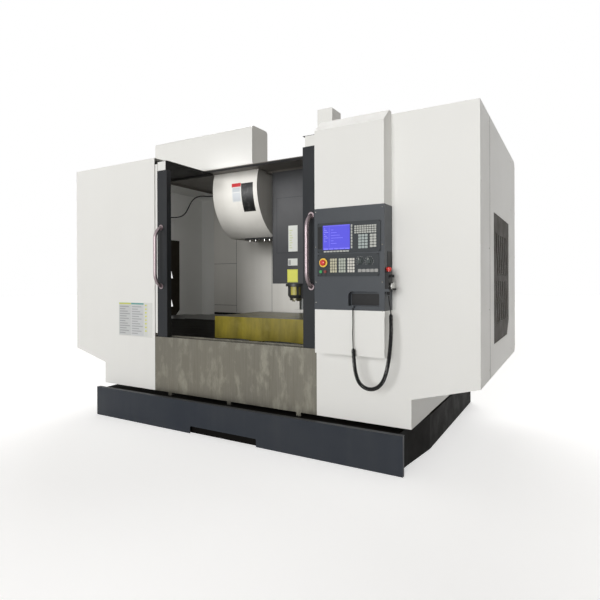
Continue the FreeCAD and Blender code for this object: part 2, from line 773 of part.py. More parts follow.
def key_block(x0, x1, z0, z1, columns, rows, front, proud):
    keys = []
    gap = 3
    wide = (x1 - x0 + gap) / columns
    tall = (z1 - z0 + gap) / rows
    for i in range(columns):
        for j in range(rows):
            keys.append(box(x0 + i * wide, x0 + (i + 1) * wide - gap, front - proud, front,
                            z0 + j * tall, z0 + (j + 1) * tall - gap))
    return keys


def panel_keys():
    upper = plate_y - face_plate
    lower = plate_y - face_plate + 2
    keys = key_block(1264, 1429, 1684, 1741, 9, 4, upper, 3)
    keys += key_block(1294, 1365, 1577, 1677, 3, 5, upper, 3)
    keys += key_block(1381, 1429, 1583, 1676, 2, 5, upper, 3)
    keys += key_block(1237, 1249, 1580, 1750, 1, 8, upper, 3)
    keys += key_block(1020, 1222, 1557, 1568, 8, 1, upper, 3)
    for x0, x1 in ((1071, 1125), (1140, 1194), (1209, 1264)):
        keys += key_block(x0, x1, 1409, 1511, 3, 5, lower, 3)
    keys += key_block(1290, 1440, 1409, 1432, 5, 1, lower, 4)
    keys += [rod(8, V(x, lower - 4, 1395), V(x, lower, 1395)) for x in buttons_x]
    return Part.makeCompound(keys)


def estop_button():
    x, z = estop_at
    front = plate_y - face_plate - 2
    stem = rod(estop_stem, V(x, front - 10, z), V(x, plate_y - 2, z))
    head = cone(18, 22, V(x, front_y + 12, z), V(x, front - 8, z))
    cap = cone(13, 18, V(x, front_y, z), V(x, front_y + 12, z))
    return union([stem, head, cap])


def push_button(x):
    front = plate_y - face_plate + 2
    return union([rod(button_stem, V(x, front - 3, buttons_z), V(x, plate_y - 1, buttons_z)),
                  rod(11, V(x, front - 8, buttons_z), V(x, front - 3, buttons_z))])


def dial_knob(place):
    x, z = place
    front = plate_y - face_plate + 2
    stem = rod(6, V(x, front - 1, z), V(x, plate_y - touch, z))
    skirt = cone(22, 26, V(x, front - 7, z), V(x, front - touch, z))
    grip = rod(16, V(x, front - 18, z), V(x, front - 7, z))
    bar = box(x - 4, x + 4, front - 22, front - 7, z - 20, z + 20)
    return union([stem, skirt, grip, bar])


def pendant_body():
    x0, x1, y0, y1, z0, z1 = pendant
    body = rounded(box(x0, x1, y0, y1, z0, z1), 10, X)
    foot = V((x0 + x1) / 2, (y0 + y1) / 2, z0)
    gland = cone(11, 8, foot, foot - Z * 28)
    top = V((x0 + x1) / 2, (y0 + y1) / 2, z1)
    stop = union([rod(10, top, top + Z * 6), cone(12, 10, top + Z * 6, top + Z * 30)])
    wheel, knob = wheel_place(), knob_place()
    body = union([body, gland, stop, rod(22, wheel - X * touch, wheel + X * 3)])
    body = body.cut(rod(8 + fit, wheel - X * 12, wheel + X * 4))
    return body.cut(rod(5 + fit, knob - X * 12, knob + X))


def wheel_place():
    return V(pendant[1], (pendant[2] + pendant[3]) / 2 + 2, pendant[4] + 34)


def knob_place():
    return V(pendant[1], (pendant[2] + pendant[3]) / 2 - 6, pendant[5] - 32)


def pendant_wheel():
    face = wheel_place() + X * 3
    crank = face + X * (wheel_gap + 8) - Z * (wheel_r - 9)
    return union([rod(8, face - X * 14, face + X * (wheel_gap + 2)),
                  rod(14, face + X * touch, face + X * wheel_gap),
                  rod(wheel_r, face + X * wheel_gap, face + X * (wheel_gap + 8)),
                  rod(6, crank - X, crank + X * 16)])


def axis_knob():
    face = knob_place()
    x, y, z = face.x, face.y, face.z
    bar = box(x + touch, x + 30, y - 3, y + 3, z - 9, z + 9)
    return union([rod(5, face - X * 11, face + X * 2), rod(9, face + X * touch, face + X * 26), bar])


# tool changer

def magazine_face(x, shrink):
    """Section of the cover across the machine: a flat top and back, a round front, open below."""
    y, z = magazine_mid
    r = magazine_r - shrink
    top = top_z - 1
    low = y - math.sqrt(r ** 2 - (z - magazine_z) ** 2)
    high = y - math.sqrt(r ** 2 - (top - z) ** 2)
    arc = Part.Arc(V(x, low, magazine_z), V(x, y - r, z), V(x, high, top)).toShape()
    lines = [V(x, high, top), V(x, wall_y, top), V(x, wall_y, magazine_z), V(x, low, magazine_z)]
    return Part.Face(Part.Wire([arc] + [Part.makeLine(a, b) for a, b in zip(lines[:-1], lines[1:])]))


def magazine_cover():
    x0, x1 = magazine_x
    outer = magazine_face(x0, 0).extrude(V(x1 - x0, 0, 0))
    inner = magazine_face(x0 + sheet, sheet).extrude(V(x1 - x0 - 2 * sheet, 0, 0))
    low_y = magazine_mid[0] - magazine_r * math.cos(math.radians(magazine_sweep))
    lip = box(x0, x1, low_y, low_y + 40, magazine_z, magazine_z + sheet)
    y, z = disc_mid
    axle = rod(30, V(x0 + sheet, y, z), V(x0 + 390, y, z))
    hub = rod(80, V(x0 + sheet, y, z), V(x0 + 60, y, z))
    return union([outer.cut(inner), lip, axle, hub])


def tool_disc():
    y, z = disc_mid
    x0 = magazine_x[0] + disc_from_wall
    plate = rod(disc_r, V(x0, y, z), V(x0 + 20, y, z))
    hub = rod(70, V(x0 - 40, y, z), V(x0 + 80, y, z))
    bore = rod(30 + fit, V(x0 - 41, y, z), V(x0 + 81, y, z))
    solids = [union([plate, hub]).cut(bore)]
    ring = disc_r - pot_inset
    back = x0 + 20
    seat = (pot_mouth - pot_bore) * 48 / 7
    for i in range(pots):
        angle = 2 * math.pi * i / pots
        foot = V(back, y + ring * math.sin(angle), z + ring * math.cos(angle))
        end = foot + X * pot_long
        pot = flat_sided(38, 46, foot, end)
        bore = flat_sided(pot_bore, pot_bore, foot + X * 35, end + X)
        mouth = flat_sided(pot_bore, pot_mouth, end - X * seat, end + X * 0.01)
        solids.append(pot.cut(bore).cut(mouth))
    return Part.makeCompound(solids)


def change_arm():
    """Double-ended arm below the cover, with a round grip at each end, and its gearbox."""
    x, y = arm_mid
    top = magazine_z - 14
    under = top - 40
    shaft = rod(35, V(x, y, top), V(x, y, top + 94))
    gearbox = box(x - 45, x + 45, y - 60, wall_y, top + 94, top + 234)
    half = [(x - 30, y - arm_half), (x + 10, y - arm_half), (x + 40, y - 60), (x + 40, y + 60)]
    bar = along_z(half + [(2 * x - a, 2 * y - b) for a, b in half], under, top)
    grips = [rod(arm_grip, V(x + side * 20, y - side * (arm_half - 30), under - 1),
                 V(x + side * 20, y - side * (arm_half - 30), top + 1)) for side in (1, -1)]
    return union([bar.cut(Part.makeCompound(grips)), shaft, gearbox])


# cords

def tube(points, radius, name):
    """A tube along straight runs joined by tangent arcs, each as large as its runs allow."""
    edges = []
    start = points[0]
    for before, corner, after in zip(points[:-2], points[1:-1], points[2:]):
        run_in, run_out = corner - before, after - corner
        turn = run_in.getAngle(run_out)
        reach = 0.45 * min(run_in.Length, run_out.Length)
        bend = reach / math.tan(turn / 2)
        print(name, "bend radius", round(bend, 1))
        a = corner - V(run_in).normalize() * reach
        b = corner + V(run_out).normalize() * reach
        chord = V(run_out).normalize() - V(run_in).normalize()
        middle = corner + chord.normalize() * (bend / math.cos(turn / 2) - bend)
        edges.append(Part.LineSegment(start, a).toShape())
        edges.append(Part.Arc(a, middle, b).toShape())
        start = b
    edges.append(Part.LineSegment(start, points[-1]).toShape())
    wire = Part.Wire(edges)
    section = ring_of(radius, points[0], points[1] - points[0], tube_sides)
    body = wire.makePipeShell([section], True, False)
    print(name, "length", round(wire.Length), "volume ratio",
          round(body.Volume / (Part.Face(section).Area * wire.Length), 4))
    return body


tube_sides = 10
lead_r = 3.5
curl_r = 13
gland_at = V(pocket[0] + 42, tower_y - 22, pocket[2] - 12)
curl_start = V(1258, -60, 872)
curl_end = V(1512, 10, 1120)
pendant_exit = V((pendant[0] + pendant[1]) / 2, (pendant[2] + pendant[3]) / 2, pendant[4] - 28)
lead_down = [gland_at, V(1254, -57, 1099), V(1256, -59, 1043), V(1254, -60, 986), V(1255, -60, 930),
             curl_start]
curly = [curl_start, V(1263, -60, 790), V(1273, -61, 705), V(1300, -62, 628), V(1357, -62, 592),
         V(1421, -61, 597), V(1472, -57, 640), V(1499, -52, 712), V(1515, -45, 800), V(1522, -35, 890),
         V(1524, -20, 975), V(1518, 0, 1050), curl_end]
lead_up = [curl_end, V(1508, 12, 1160), V(1502, 2, 1205), pendant_exit]
hose = [V(-cover_x + sheet, 1420, 2188), V(-1985, 1420, 2188), V(-1885, 1400, 2178), V(-1790, 1366, 2172),
        V(-1700, 1330, 2176), V(-1612, 1292, 2195), V(-1525, 1245, 2238), V(-1437, 1195, 2292),
        V(-1345, 1147, 2330), V(-1240, 1105, 2345), V(-1130, 1072, 2338), V(-1015, 1060, 2320),
        V(magazine_x[0], 1060, 2320)]


# electrical cabinet

def electrical_cabinet():
    x, (y0, y1), (z0, z1) = cabinet_x, cabinet_y, cabinet_z
    shell = box(-x, x, y0, y1, z0, z1)
    shell = shell.cut(box(-x + sheet, x - sheet, y0 + sheet, y1 + 1, z0 + sheet, z1 - sheet))
    rim = [box(-x, x, y1 - sheet, y1, z0, z0 + 30), box(-x, x, y1 - sheet, y1, z1 - 30, z1),
           box(-x, -x + 30, y1 - sheet, y1, z0, z1), box(x - 30, x, y1 - sheet, y1, z0, z1)]
    plinth = box(-x + 30, x - 30, y0 + 20, y1 - 20, 0, z0)
    plate = box(-x + 60, x - 60, y0 + sheet, y0 + sheet + 15, z0 + 60, z1 - 60)
    drives = [box(-x + 130 + i * 190, -x + 270 + i * 190, y0 + 18, y0 + 160, z1 - 700, z1 - 250)
              for i in range(4)]
    modules = [box(-x + 130, x - 130, y0 + 18, y0 + 90, z0 + 250 + j * 330, z0 + 380 + j * 330)
               for j in range(3)]
    hinges = [rod(8, V(x + 8, y1 + cabinet_door / 2, z), V(x + 8, y1 + cabinet_door / 2, z + 60))
              for z in (z0 + 150, z1 - 270)]
    lugs = [box(x, x + 8, y1 - 30, y1 + cabinet_door / 2 - 9, z, z + 60) for z in (z0 + 150, z1 - 270)]
    ears = [box(x + 2, x + 14, y1 - 30, y1 + cabinet_door / 2 - 4, z, z + 60) for z in (z0 + 150, z1 - 270)]
    return union([shell, plinth, plate] + rim + drives + modules + hinges + lugs + ears)


def cabinet_door_panel():
    x, (z0, z1) = cabinet_x, cabinet_z
    y0, y1 = cabinet_y[1] + touch, cabinet_y[1] + cabinet_door
    room = box(-x + sheet, x - sheet, y0 - 1, y1 - sheet, z0 + sheet, z1 - sheet)
    shell = box(-x, x, y0, y1, z0, z1).cut(room)
    knuckles = []
    for z in (z0 + 210 + touch, z1 - 210 + touch):
        middle = V(x + 8, cabinet_y[1] + cabinet_door / 2, z)
        knuckles.append(rod(8, middle, middle + V(0, 0, 60)))
        knuckles.append(box(x - sheet, x + 8, middle.y - 4, middle.y + 4, z, z + 60))
    latch = box(-x + 40, -x + 60, y1, y1 + 3, 1150, 1290)
    return union([shell, latch] + knuckles)


# the separate pieces, one file each

save("leveling_feet", leveling_feet())
save("machine_bed", machine_bed())
save("column", column())
save("saddle", saddle())
save("table", table())
for number, name in enumerate(("table", "middle", "inner", "fixed")):
    save("x_cover_" + name + "_plates", x_plates(number))
for number, name in enumerate(("saddle", "middle", "front")):
    save("y_cover_" + name + "_plate", y_plate(number))

save("head_casting", head_casting())
save("head_cover", head_cover())
save("spindle_motor", spindle_motor())
save("spindle_housing", spindle_housing())
save("spindle_shaft", spindle_shaft())
save("z_motor", z_motor())

save("coolant_tank", coolant_tank())
save("tank_fascia", tank_fascia())
save("front_left_panel", front_panel(-1, opening_left))
save("front_right_panel", front_panel(1, opening_right))
save("front_apron", front_apron())
save("right_side_cover", side_cover())
save("left_side_cover", mirrored(side_cover()))
save("right_window_guard", window_guard())
save("left_window_guard", mirrored(window_guard()))
save("roof_panel", roof_panel())
save("roof_hood", roof_hood())
save("rear_wall", rear_wall())

for name, make in (("door", door), ("door_post", door_post), ("door_handle", door_handle),
                   ("door_glass", door_glass)):
    save("right_" + name, make())
    save("left_" + name, mirrored(make()))

save("control_tower", control_tower())
save("control_housing", control_housing())
save("screen_bezel", screen_bezel())
save("display_screen", display_screen())
save("operator_plate", operator_plate())
save("panel_keys", panel_keys())
save("estop_button", estop_button())
save("start_button", push_button(buttons_x[0]))
save("hold_button", push_button(buttons_x[1]))
save("feed_knob", dial_knob(knobs_at[0]))
save("speed_knob", dial_knob(knobs_at[1]))
save("pendant_body", pendant_body())
save("pendant_wheel", pendant_wheel())
save("axis_knob", axis_knob())
leads = [tube(lead_down, lead_r, "lead"), tube(lead_up, lead_r, "lead end")]
save("pendant_lead", Part.makeCompound(leads))
save("pendant_coil", tube(curly, curl_r, "curly cord"))

save("magazine_cover", magazine_cover())
save("tool_disc", tool_disc())
save("change_arm", change_arm())
save("magazine_hose", tube(hose, 7, "hose"))

save("electrical_cabinet", electrical_cabinet())
save("cabinet_door", cabinet_door_panel())
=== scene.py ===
import math
import bmesh
import bpy
import numpy as np
from mathutils import Matrix, Vector


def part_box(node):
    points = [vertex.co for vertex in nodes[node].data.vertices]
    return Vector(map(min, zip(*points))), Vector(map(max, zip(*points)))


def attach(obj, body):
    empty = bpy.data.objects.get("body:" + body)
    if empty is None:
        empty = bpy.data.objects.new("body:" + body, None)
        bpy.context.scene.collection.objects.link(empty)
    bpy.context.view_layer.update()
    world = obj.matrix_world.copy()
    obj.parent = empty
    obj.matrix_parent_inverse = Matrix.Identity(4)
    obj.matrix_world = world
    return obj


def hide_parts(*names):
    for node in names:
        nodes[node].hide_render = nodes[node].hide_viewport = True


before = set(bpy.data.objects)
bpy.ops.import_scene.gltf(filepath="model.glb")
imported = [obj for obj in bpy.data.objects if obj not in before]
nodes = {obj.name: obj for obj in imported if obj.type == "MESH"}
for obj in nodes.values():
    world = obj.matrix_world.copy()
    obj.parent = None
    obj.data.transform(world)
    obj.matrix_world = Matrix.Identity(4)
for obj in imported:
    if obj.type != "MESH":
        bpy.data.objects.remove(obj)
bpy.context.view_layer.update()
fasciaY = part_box("tank_fascia")[0].y
across, inward, upward = np.eye(3)
print("frame loaded:", len(nodes), "nodes")


def inFrame(points):  # millimetres from the middle, the fascia's face and the floor, as metres in the frame
    return np.asarray(points, float) / 1000 + np.array([0, fasciaY, 0])


def tone(red, green, blue):  # a colour of 0 to 255 as the share of light that it gives back
    values = np.array([red, green, blue]) / 255
    light = np.where(values <= 0.04045, values / 12.92, ((values + 0.055) / 1.055) ** 2.4)
    return (*light.tolist(), 1.0)


def feed(tree, socket, value):  # a value goes into the socket, an output is linked to it
    if isinstance(value, bpy.types.NodeSocket):
        tree.links.new(value, socket)
    else:
        socket.default_value = value


def addNode(tree, kind, inputs=None, **options):  # a node with its options set and its sockets fed
    node = tree.nodes.new(kind)
    for key, value in options.items():
        setattr(node, key, value)
    for key, value in (inputs or {}).items():
        feed(tree, node.inputs[key], value)
    return node


def newGroup(name, inputs):  # one number is a value, three are a vector and four a colour
    kinds = {1: "NodeSocketFloat", 3: "NodeSocketVector", 4: "NodeSocketColor"}
    group = bpy.data.node_groups.new(name, "ShaderNodeTree")
    for label, value in inputs.items():
        socket = group.interface.new_socket(name=label, in_out="INPUT", socket_type=kinds[np.size(value)])
        socket.default_value = value
    for label, numbers in (("Color", 4), ("Roughness", 1), ("Normal", 3)):
        group.interface.new_socket(name=label, in_out="OUTPUT", socket_type=kinds[numbers])
    return group, group.nodes.new("NodeGroupInput"), group.nodes.new("NodeGroupOutput")


def blend(tree, share, first, second):  # the first colour, going over to the second as the share goes to 1
    node = addNode(tree, "ShaderNodeMix", data_type="RGBA")
    for place, value in ((0, share), (6, first), (7, second)):
        feed(tree, node.inputs[place], value)
    return node.outputs[2]


def spread(tree, value, low, high, toLow=0.0, toHigh=1.0):  # a value's range carried over to another range
    inputs = {"Value": value, "From Min": low, "From Max": high, "To Min": toLow, "To Max": toHigh}
    return addNode(tree, "ShaderNodeMapRange", inputs).outputs["Result"]


def maths(tree, operation, first, second=0.0, clamp=False):  # one sum of two values
    node = addNode(tree, "ShaderNodeMath", operation=operation, use_clamp=clamp)
    feed(tree, node.inputs[0], first)
    feed(tree, node.inputs[1], second)
    return node.outputs[0]


def times(tree, first, second, clamp=False):
    return maths(tree, "MULTIPLY", first, second, clamp)


def noise(tree, vector, scale, detail=3.0, rough=0.5):  # clouds of values round one half
    inputs = {"Vector": vector, "Scale": scale, "Detail": detail, "Roughness": rough}
    return addNode(tree, "ShaderNodeTexNoise", inputs).outputs["Fac"]


def objectPlace(tree):  # the place on the piece, in its own metres
    return addNode(tree, "ShaderNodeTexCoord").outputs["Object"]


def upFacing(tree):  # 1 where a face looks up, -1 where it looks down
    normal = addNode(tree, "ShaderNodeNewGeometry").outputs["Normal"]
    return addNode(tree, "ShaderNodeSeparateXYZ", {"Vector": normal}).outputs["Z"]


def stretched(tree, place, scale, turn=(0, 0, 0)):  # the place times a scale, and turned
    return addNode(tree, "ShaderNodeMapping", {"Vector": place, "Scale": scale, "Rotation": turn}).outputs[0]


def glossBetween(group, entry, value, low=0.0, high=1.0):  # the roughness, from the group's low to its high gloss
    return spread(group, value, low, high, entry.outputs["Gloss Low"], entry.outputs["Gloss High"])


def leaveBy(group, leave, color, rough, height, strength, distance):  # the three outputs that each group has
    bump = addNode(group, "ShaderNodeBump", {"Height": height, "Strength": strength, "Distance": distance})
    for label, value in (("Color", color), ("Roughness", rough), ("Normal", bump.outputs["Normal"])):
        group.links.new(value, leave.inputs[label])
    return group


def coatGroup():  # sprayed paint: slow clouds in the colour, orange peel in the height, dust where it lies, painted shade on undersides and above a height
    group, entry, leave = newGroup("sprayedCoat", {
        "Color": (0.8, 0.8, 0.8, 1), "Cloud": 0.05, "Peel Scale": 400, "Peel Height": 0.1, "Gloss Low": 0.3,
        "Gloss High": 0.45, "Dust": 0.1, "Dust Color": (0.4, 0.38, 0.34, 1), "Painted Shade": 0.0,
        "Painted Shade Color": (0.01, 0.01, 0.01, 1), "Lined Above": 100})
    value = entry.outputs
    place = objectPlace(group)
    clouds = noise(group, place, 1.7, 4)
    runs = noise(group, stretched(group, place, (9, 9, 0.7)), 1.0, 3)
    darker = times(group, spread(group, clouds, 0.35, 0.7), value["Cloud"])
    streaked = times(group, spread(group, runs, 0.5, 0.8), times(group, value["Cloud"], 0.5))
    darker = maths(group, "ADD", darker, streaked)
    color = blend(group, darker, value["Color"], value["Dust Color"])
    facing = upFacing(group)
    patchy = spread(group, noise(group, place, 14), 0.35, 0.7)
    lying = times(group, spread(group, facing, 0.3, 0.95), patchy)
    settled = times(group, lying, value["Dust"], clamp=True)
    color = blend(group, settled, color, value["Dust Color"])
    # painted shade: undersides, and faces above a height that don't look up, take the shade colour
    height = addNode(group, "ShaderNodeSeparateXYZ", {"Vector": place}).outputs["Z"]
    high = maths(group, "GREATER_THAN", height, value["Lined Above"])
    above = times(group, high, maths(group, "LESS_THAN", facing, 0.5))
    shaded = maths(group, "MAXIMUM", spread(group, facing, -0.6, -0.9), above)
    shaded = times(group, shaded, value["Painted Shade"])
    color = blend(group, shaded, color, value["Painted Shade Color"])
    patches = spread(group, noise(group, place, 5, 5, 0.6), 0.3, 0.7)
    dull = times(group, settled, 0.3)
    rough = maths(group, "ADD", glossBetween(group, entry, patches), dull, clamp=True)
    peel = noise(group, place, value["Peel Scale"], 2.0)
    return leaveBy(group, leave, color, rough, peel, value["Peel Height"], 0.0006)


def brushedGroup():  # rolled or ground metal: fine lines along one way, wiped smudges, oily patches
    group, entry, leave = newGroup("brushedMetal", {
        "Color": (0.5, 0.5, 0.5, 1), "Smear Color": (0.6, 0.6, 0.6, 1), "Lines": (2, 300, 300),
        "Line Height": 0.15, "Smudge": 0.3, "Gloss Low": 0.25, "Gloss High": 0.45})
    value = entry.outputs
    place = objectPlace(group)
    brushed = noise(group, stretched(group, place, value["Lines"]), 1.0, 4, 0.6)
    wiped = stretched(group, place, (5, 5, 2.2), (0.3, 0.5, 0))
    smear = spread(group, noise(group, wiped, 1.6, 7, 0.68), 0.5, 0.78)
    slow = spread(group, noise(group, place, 1.1, 2), 0.3, 0.7)
    shade = blend(group, times(group, slow, 0.28), value["Color"], (0.05, 0.05, 0.045, 1))
    shade = blend(group, times(group, brushed, 0.12), shade, (0.8, 0.8, 0.8, 1))
    marked = times(group, smear, value["Smudge"], clamp=True)
    color = blend(group, marked, shade, value["Smear Color"])
    dull = times(group, marked, 0.35)
    rough = maths(group, "ADD", glossBetween(group, entry, brushed), dull, clamp=True)
    return leaveBy(group, leave, color, rough, brushed, value["Line Height"], 0.0004)


def mouldedGroup():  # moulded plastic and rubber: fine grain, a little wear and greasy wipe marks
    group, entry, leave = newGroup("mouldedSkin", {
        "Color": (0.1, 0.1, 0.1, 1), "Worn Color": (0.2, 0.2, 0.2, 1), "Wear": 0.2, "Grain Scale": 1500,
        "Grain Height": 0.2, "Gloss Low": 0.35, "Gloss High": 0.6})
    value = entry.outputs
    place = objectPlace(group)
    rubbed = spread(group, noise(group, place, 22, 6, 0.65), 0.5, 0.8)
    worn = times(group, rubbed, value["Wear"], clamp=True)
    color = blend(group, worn, value["Color"], value["Worn Color"])
    rough = glossBetween(group, entry, noise(group, place, 9, 4), 0.3, 0.7)
    grain = noise(group, place, value["Grain Scale"], 1.0)
    return leaveBy(group, leave, color, rough, grain, value["Grain Height"], 0.0002)


groups = {"coat": coatGroup(), "brushed": brushedGroup(), "moulded": mouldedGroup()}
print("shader groups ready")


def finish(name, groupName, groupInputs, **shaderValues):  # a group for what varies, plain values on the shader
    material = bpy.data.materials.new(name)
    material.use_nodes = True
    tree = material.node_tree
    shader = tree.nodes["Principled BSDF"]
    skin = tree.nodes.new("ShaderNodeGroup")
    skin.node_tree = groups[groupName]
    for key, value in groupInputs.items():
        skin.inputs[key].default_value = value
    for output, entry in (("Color", "Base Color"), ("Roughness", "Roughness"), ("Normal", "Normal")):
        tree.links.new(skin.outputs[output], shader.inputs[entry])
    for key, value in shaderValues.items():
        shader.inputs[key.replace("_", " ")].default_value = value
    return material


# a second, darker colour is painted shade on the undersides and on what lies above a height
def coat(name, color, cloud, peel, gloss, dust, dustColor, paintedShade=None, shadedAbove=100, specular=0.5):
    values = {"Color": tone(*color), "Cloud": cloud, "Peel Scale": peel[0], "Peel Height": peel[1],
              "Gloss Low": gloss[0], "Gloss High": gloss[1], "Dust": dust, "Dust Color": tone(*dustColor)}
    if paintedShade:
        values.update({"Painted Shade": 1.0, "Painted Shade Color": tone(*paintedShade), "Lined Above": shadedAbove})
    return finish(name, "coat", values, Specular_IOR_Level=specular)


# the lines run along the way whose scale is the smallest
def brushed(name, color, smear, lines, lineHeight, smudge, gloss, metal=1.0, specular=0.5):
    values = {"Color": tone(*color), "Smear Color": tone(*smear), "Lines": lines, "Line Height": lineHeight,
              "Smudge": smudge, "Gloss Low": gloss[0], "Gloss High": gloss[1]}
    return finish(name, "brushed", values, Metallic=metal, Specular_IOR_Level=specular)


# without a colour of its own, the material takes the tint that the piece carries
def moulded(name, color, worn, gloss, wear=0.2, grainHeight=0.2, grainScale=1500, specular=0.5, lacquer=0.0,
            glow=0.0):
    values = {"Worn Color": tone(*worn), "Wear": wear, "Grain Scale": grainScale, "Grain Height": grainHeight,
              "Gloss Low": gloss[0], "Gloss High": gloss[1]}
    if color:
        values["Color"] = tone(*color)
    material = finish(name, "moulded", values, Specular_IOR_Level=specular, Coat_Weight=lacquer)
    if color:
        return material
    tree = material.node_tree
    shader = tree.nodes["Principled BSDF"]
    tint = addNode(tree, "ShaderNodeAttribute", attribute_name="tint").outputs["Color"]
    tree.links.new(tint, skinOf(tree).inputs["Color"])
    if glow:
        tree.links.new(tint, shader.inputs["Emission Color"])
        shader.inputs["Emission Strength"].default_value = glow
    return material


def skinOf(tree):  # the material's group
    return next(node for node in tree.nodes if node.type == "GROUP")


sheetWhite = {"color": (229, 229, 226), "cloud": 0.035, "peel": (260, 0.1), "gloss": (0.3, 0.4), "dust": 0.12,
              "dustColor": (178, 174, 163), "specular": 0.12}
panelWhite = coat("panelWhite", **sheetWhite)
# painted shade: the doors turn near black above 2.48 m and on their undersides, where the roof shades them
shadedWhite = coat("shadedWhite", **sheetWhite, paintedShade=(16, 15, 14), shadedAbove=2.4795)
# painted shade: every face of the roof panel that doesn't look up takes a mid grey
roofWhite = coat("roofWhite", **sheetWhite, paintedShade=(104, 100, 95), shadedAbove=1.0)
innerWhite = coat("innerWhite", (216, 214, 208), cloud=0.14, peel=(260, 0.12), gloss=(0.34, 0.5), dust=0.35,
                  dustColor=(140, 134, 122), specular=0.35)
postGrey = coat("postGrey", (33, 36, 40), cloud=0.1, peel=(420, 0.2), gloss=(0.34, 0.46), dust=0.2,
                dustColor=(90, 88, 84), specular=0.2)
housingGrey = coat("housingGrey", (68, 72, 77), cloud=0.08, peel=(420, 0.2), gloss=(0.32, 0.44), dust=0.2,
                   dustColor=(110, 110, 106), specular=0.25)
headGrey = coat("headGrey", (60, 61, 64), cloud=0.12, peel=(420, 0.2), gloss=(0.32, 0.46), dust=0.2,
                dustColor=(110, 108, 102), specular=0.3)
fasciaDark = coat("fasciaDark", (44, 49, 57), cloud=0.12, peel=(420, 0.25), gloss=(0.3, 0.44), dust=0.3,
                  dustColor=(96, 96, 94), specular=0.15)
tankDark = coat("tankDark", (15, 14, 13), cloud=0.2, peel=(300, 0.3), gloss=(0.45, 0.62), dust=0.25,
                dustColor=(36, 34, 31), specular=0.03)
castGrey = coat("castGrey", (150, 153, 152), cloud=0.16, peel=(90, 0.6), gloss=(0.42, 0.6), dust=0.5,
                dustColor=(110, 104, 92))
motorBlack = coat("motorBlack", (38, 38, 40), cloud=0.1, peel=(300, 0.3), gloss=(0.35, 0.5), dust=0.3,
                  dustColor=(80, 78, 74))
apronSteel = brushed("apronSteel", (101, 97, 84), smear=(162, 160, 146), lines=(260, 260, 3), lineHeight=0.1,
                     smudge=0.6, gloss=(0.32, 0.48))
coverSteel = brushed("coverSteel", (50, 49, 47), smear=(74, 70, 60), lines=(3, 260, 260), lineHeight=0.12,
                     smudge=0.3, gloss=(0.24, 0.4))
spindleSteel = brushed("spindleSteel", (150, 148, 142), smear=(168, 158, 96), lines=(60, 60, 500), lineHeight=0.1,
                       smudge=0.3, gloss=(0.14, 0.26))
housingSteel = brushed("housingSteel", (24, 23, 20), smear=(66, 62, 30), lines=(60, 60, 500), lineHeight=0.1,
                       smudge=0.5, gloss=(0.3, 0.42), metal=0.3, specular=0.2)
noseSteel = brushed("noseSteel", (88, 84, 62), smear=(120, 112, 60), lines=(60, 60, 500), lineHeight=0.1,
                    smudge=0.4, gloss=(0.26, 0.4), metal=0.8)
# painted shade: a darker, duller copy of the way-cover steel for the y covers, which lie in shadow under the table
shadedWaySteel = brushed("shadedWaySteel", (34, 33, 31), smear=(52, 49, 42), lines=(260, 3, 260), lineHeight=0.12, smudge=0.3,
                  gloss=(0.36, 0.5), metal=0.5, specular=0.2)
tubeChrome = brushed("tubeChrome", (150, 134, 138), smear=(124, 104, 108), lines=(200, 200, 4), lineHeight=0.015,
                     smudge=0.35, gloss=(0.34, 0.44))
wheelSilver = brushed("wheelSilver", (206, 206, 202), smear=(160, 160, 156), lines=(500, 30, 30), lineHeight=0.05,
                      smudge=0.3, gloss=(0.2, 0.3))
blackMould = moulded("blackMould", (24, 24, 25), worn=(48, 47, 46), wear=0.3, grainHeight=0.3, gloss=(0.38, 0.55),
                     specular=0.25)
guardDark = moulded("guardDark", (50, 45, 38), worn=(70, 64, 54), wear=0.4, grainHeight=0.3, gloss=(0.5, 0.65),
                    specular=0.1)
rubberBlack = moulded("rubberBlack", (20, 20, 21), worn=(44, 42, 40), wear=0.3, grainHeight=0.4, gloss=(0.5, 0.72),
                      grainScale=900, specular=0.2)
plateGrey = moulded("plateGrey", (50, 54, 57), worn=(72, 75, 76), grainHeight=0.25, gloss=(0.38, 0.52),
                    specular=0.25)
cordJacket = moulded("cordJacket", (18, 18, 19), worn=(40, 38, 36), wear=0.3, gloss=(0.42, 0.6),
                     grainScale=1200, specular=0.25)
stopRed = moulded("stopRed", (206, 42, 30), worn=(226, 96, 72), grainHeight=0.05, gloss=(0.18, 0.3),
                  lacquer=0.3)
holdRed = moulded("holdRed", (120, 40, 36), worn=(150, 70, 60), grainHeight=0.05, gloss=(0.22, 0.34))
knobGrey = moulded("knobGrey", (66, 72, 72), worn=(92, 98, 96), wear=0.3, gloss=(0.34, 0.5),
                   specular=0.3)
startGreen = moulded("startGreen", (48, 158, 84), worn=(110, 196, 130), grainHeight=0.05,
                     gloss=(0.2, 0.34), lacquer=0.3)
ringYellow = moulded("ringYellow", (238, 196, 72), worn=(214, 178, 90), wear=0.3, grainHeight=0.1,
                     gloss=(0.3, 0.44))
keyCapsPlastic = moulded("keyCapsPlastic", None, worn=(150, 148, 140), grainHeight=0.1, gloss=(0.36, 0.5))
printedFilm = moulded("printedFilm", None, worn=(170, 168, 160), wear=0.12, grainHeight=0.06, gloss=(0.3, 0.42))
litGlass = moulded("litGlass", None, worn=(90, 92, 200), wear=0.05, grainHeight=0.0, gloss=(0.08, 0.14), glow=0.25)


def paintedUpTo(material, height, color):  # the same coat, in another colour below a height
    tree = material.node_tree
    apart = addNode(tree, "ShaderNodeSeparateXYZ", {"Vector": objectPlace(tree)})
    low = maths(tree, "LESS_THAN", apart.outputs["Z"], height)
    both = blend(tree, low, skinOf(tree).outputs["Color"], color)
    tree.links.new(both, tree.nodes["Principled BSDF"].inputs["Base Color"])


housingEdge = {"z": 1138, "below": (227, 227, 224), "x": (938, 1084), "high": (1155.4, 1138.4), "thick": 4}
paintedUpTo(housingGrey, housingEdge["z"] / 1000, tone(*housingEdge["below"]))


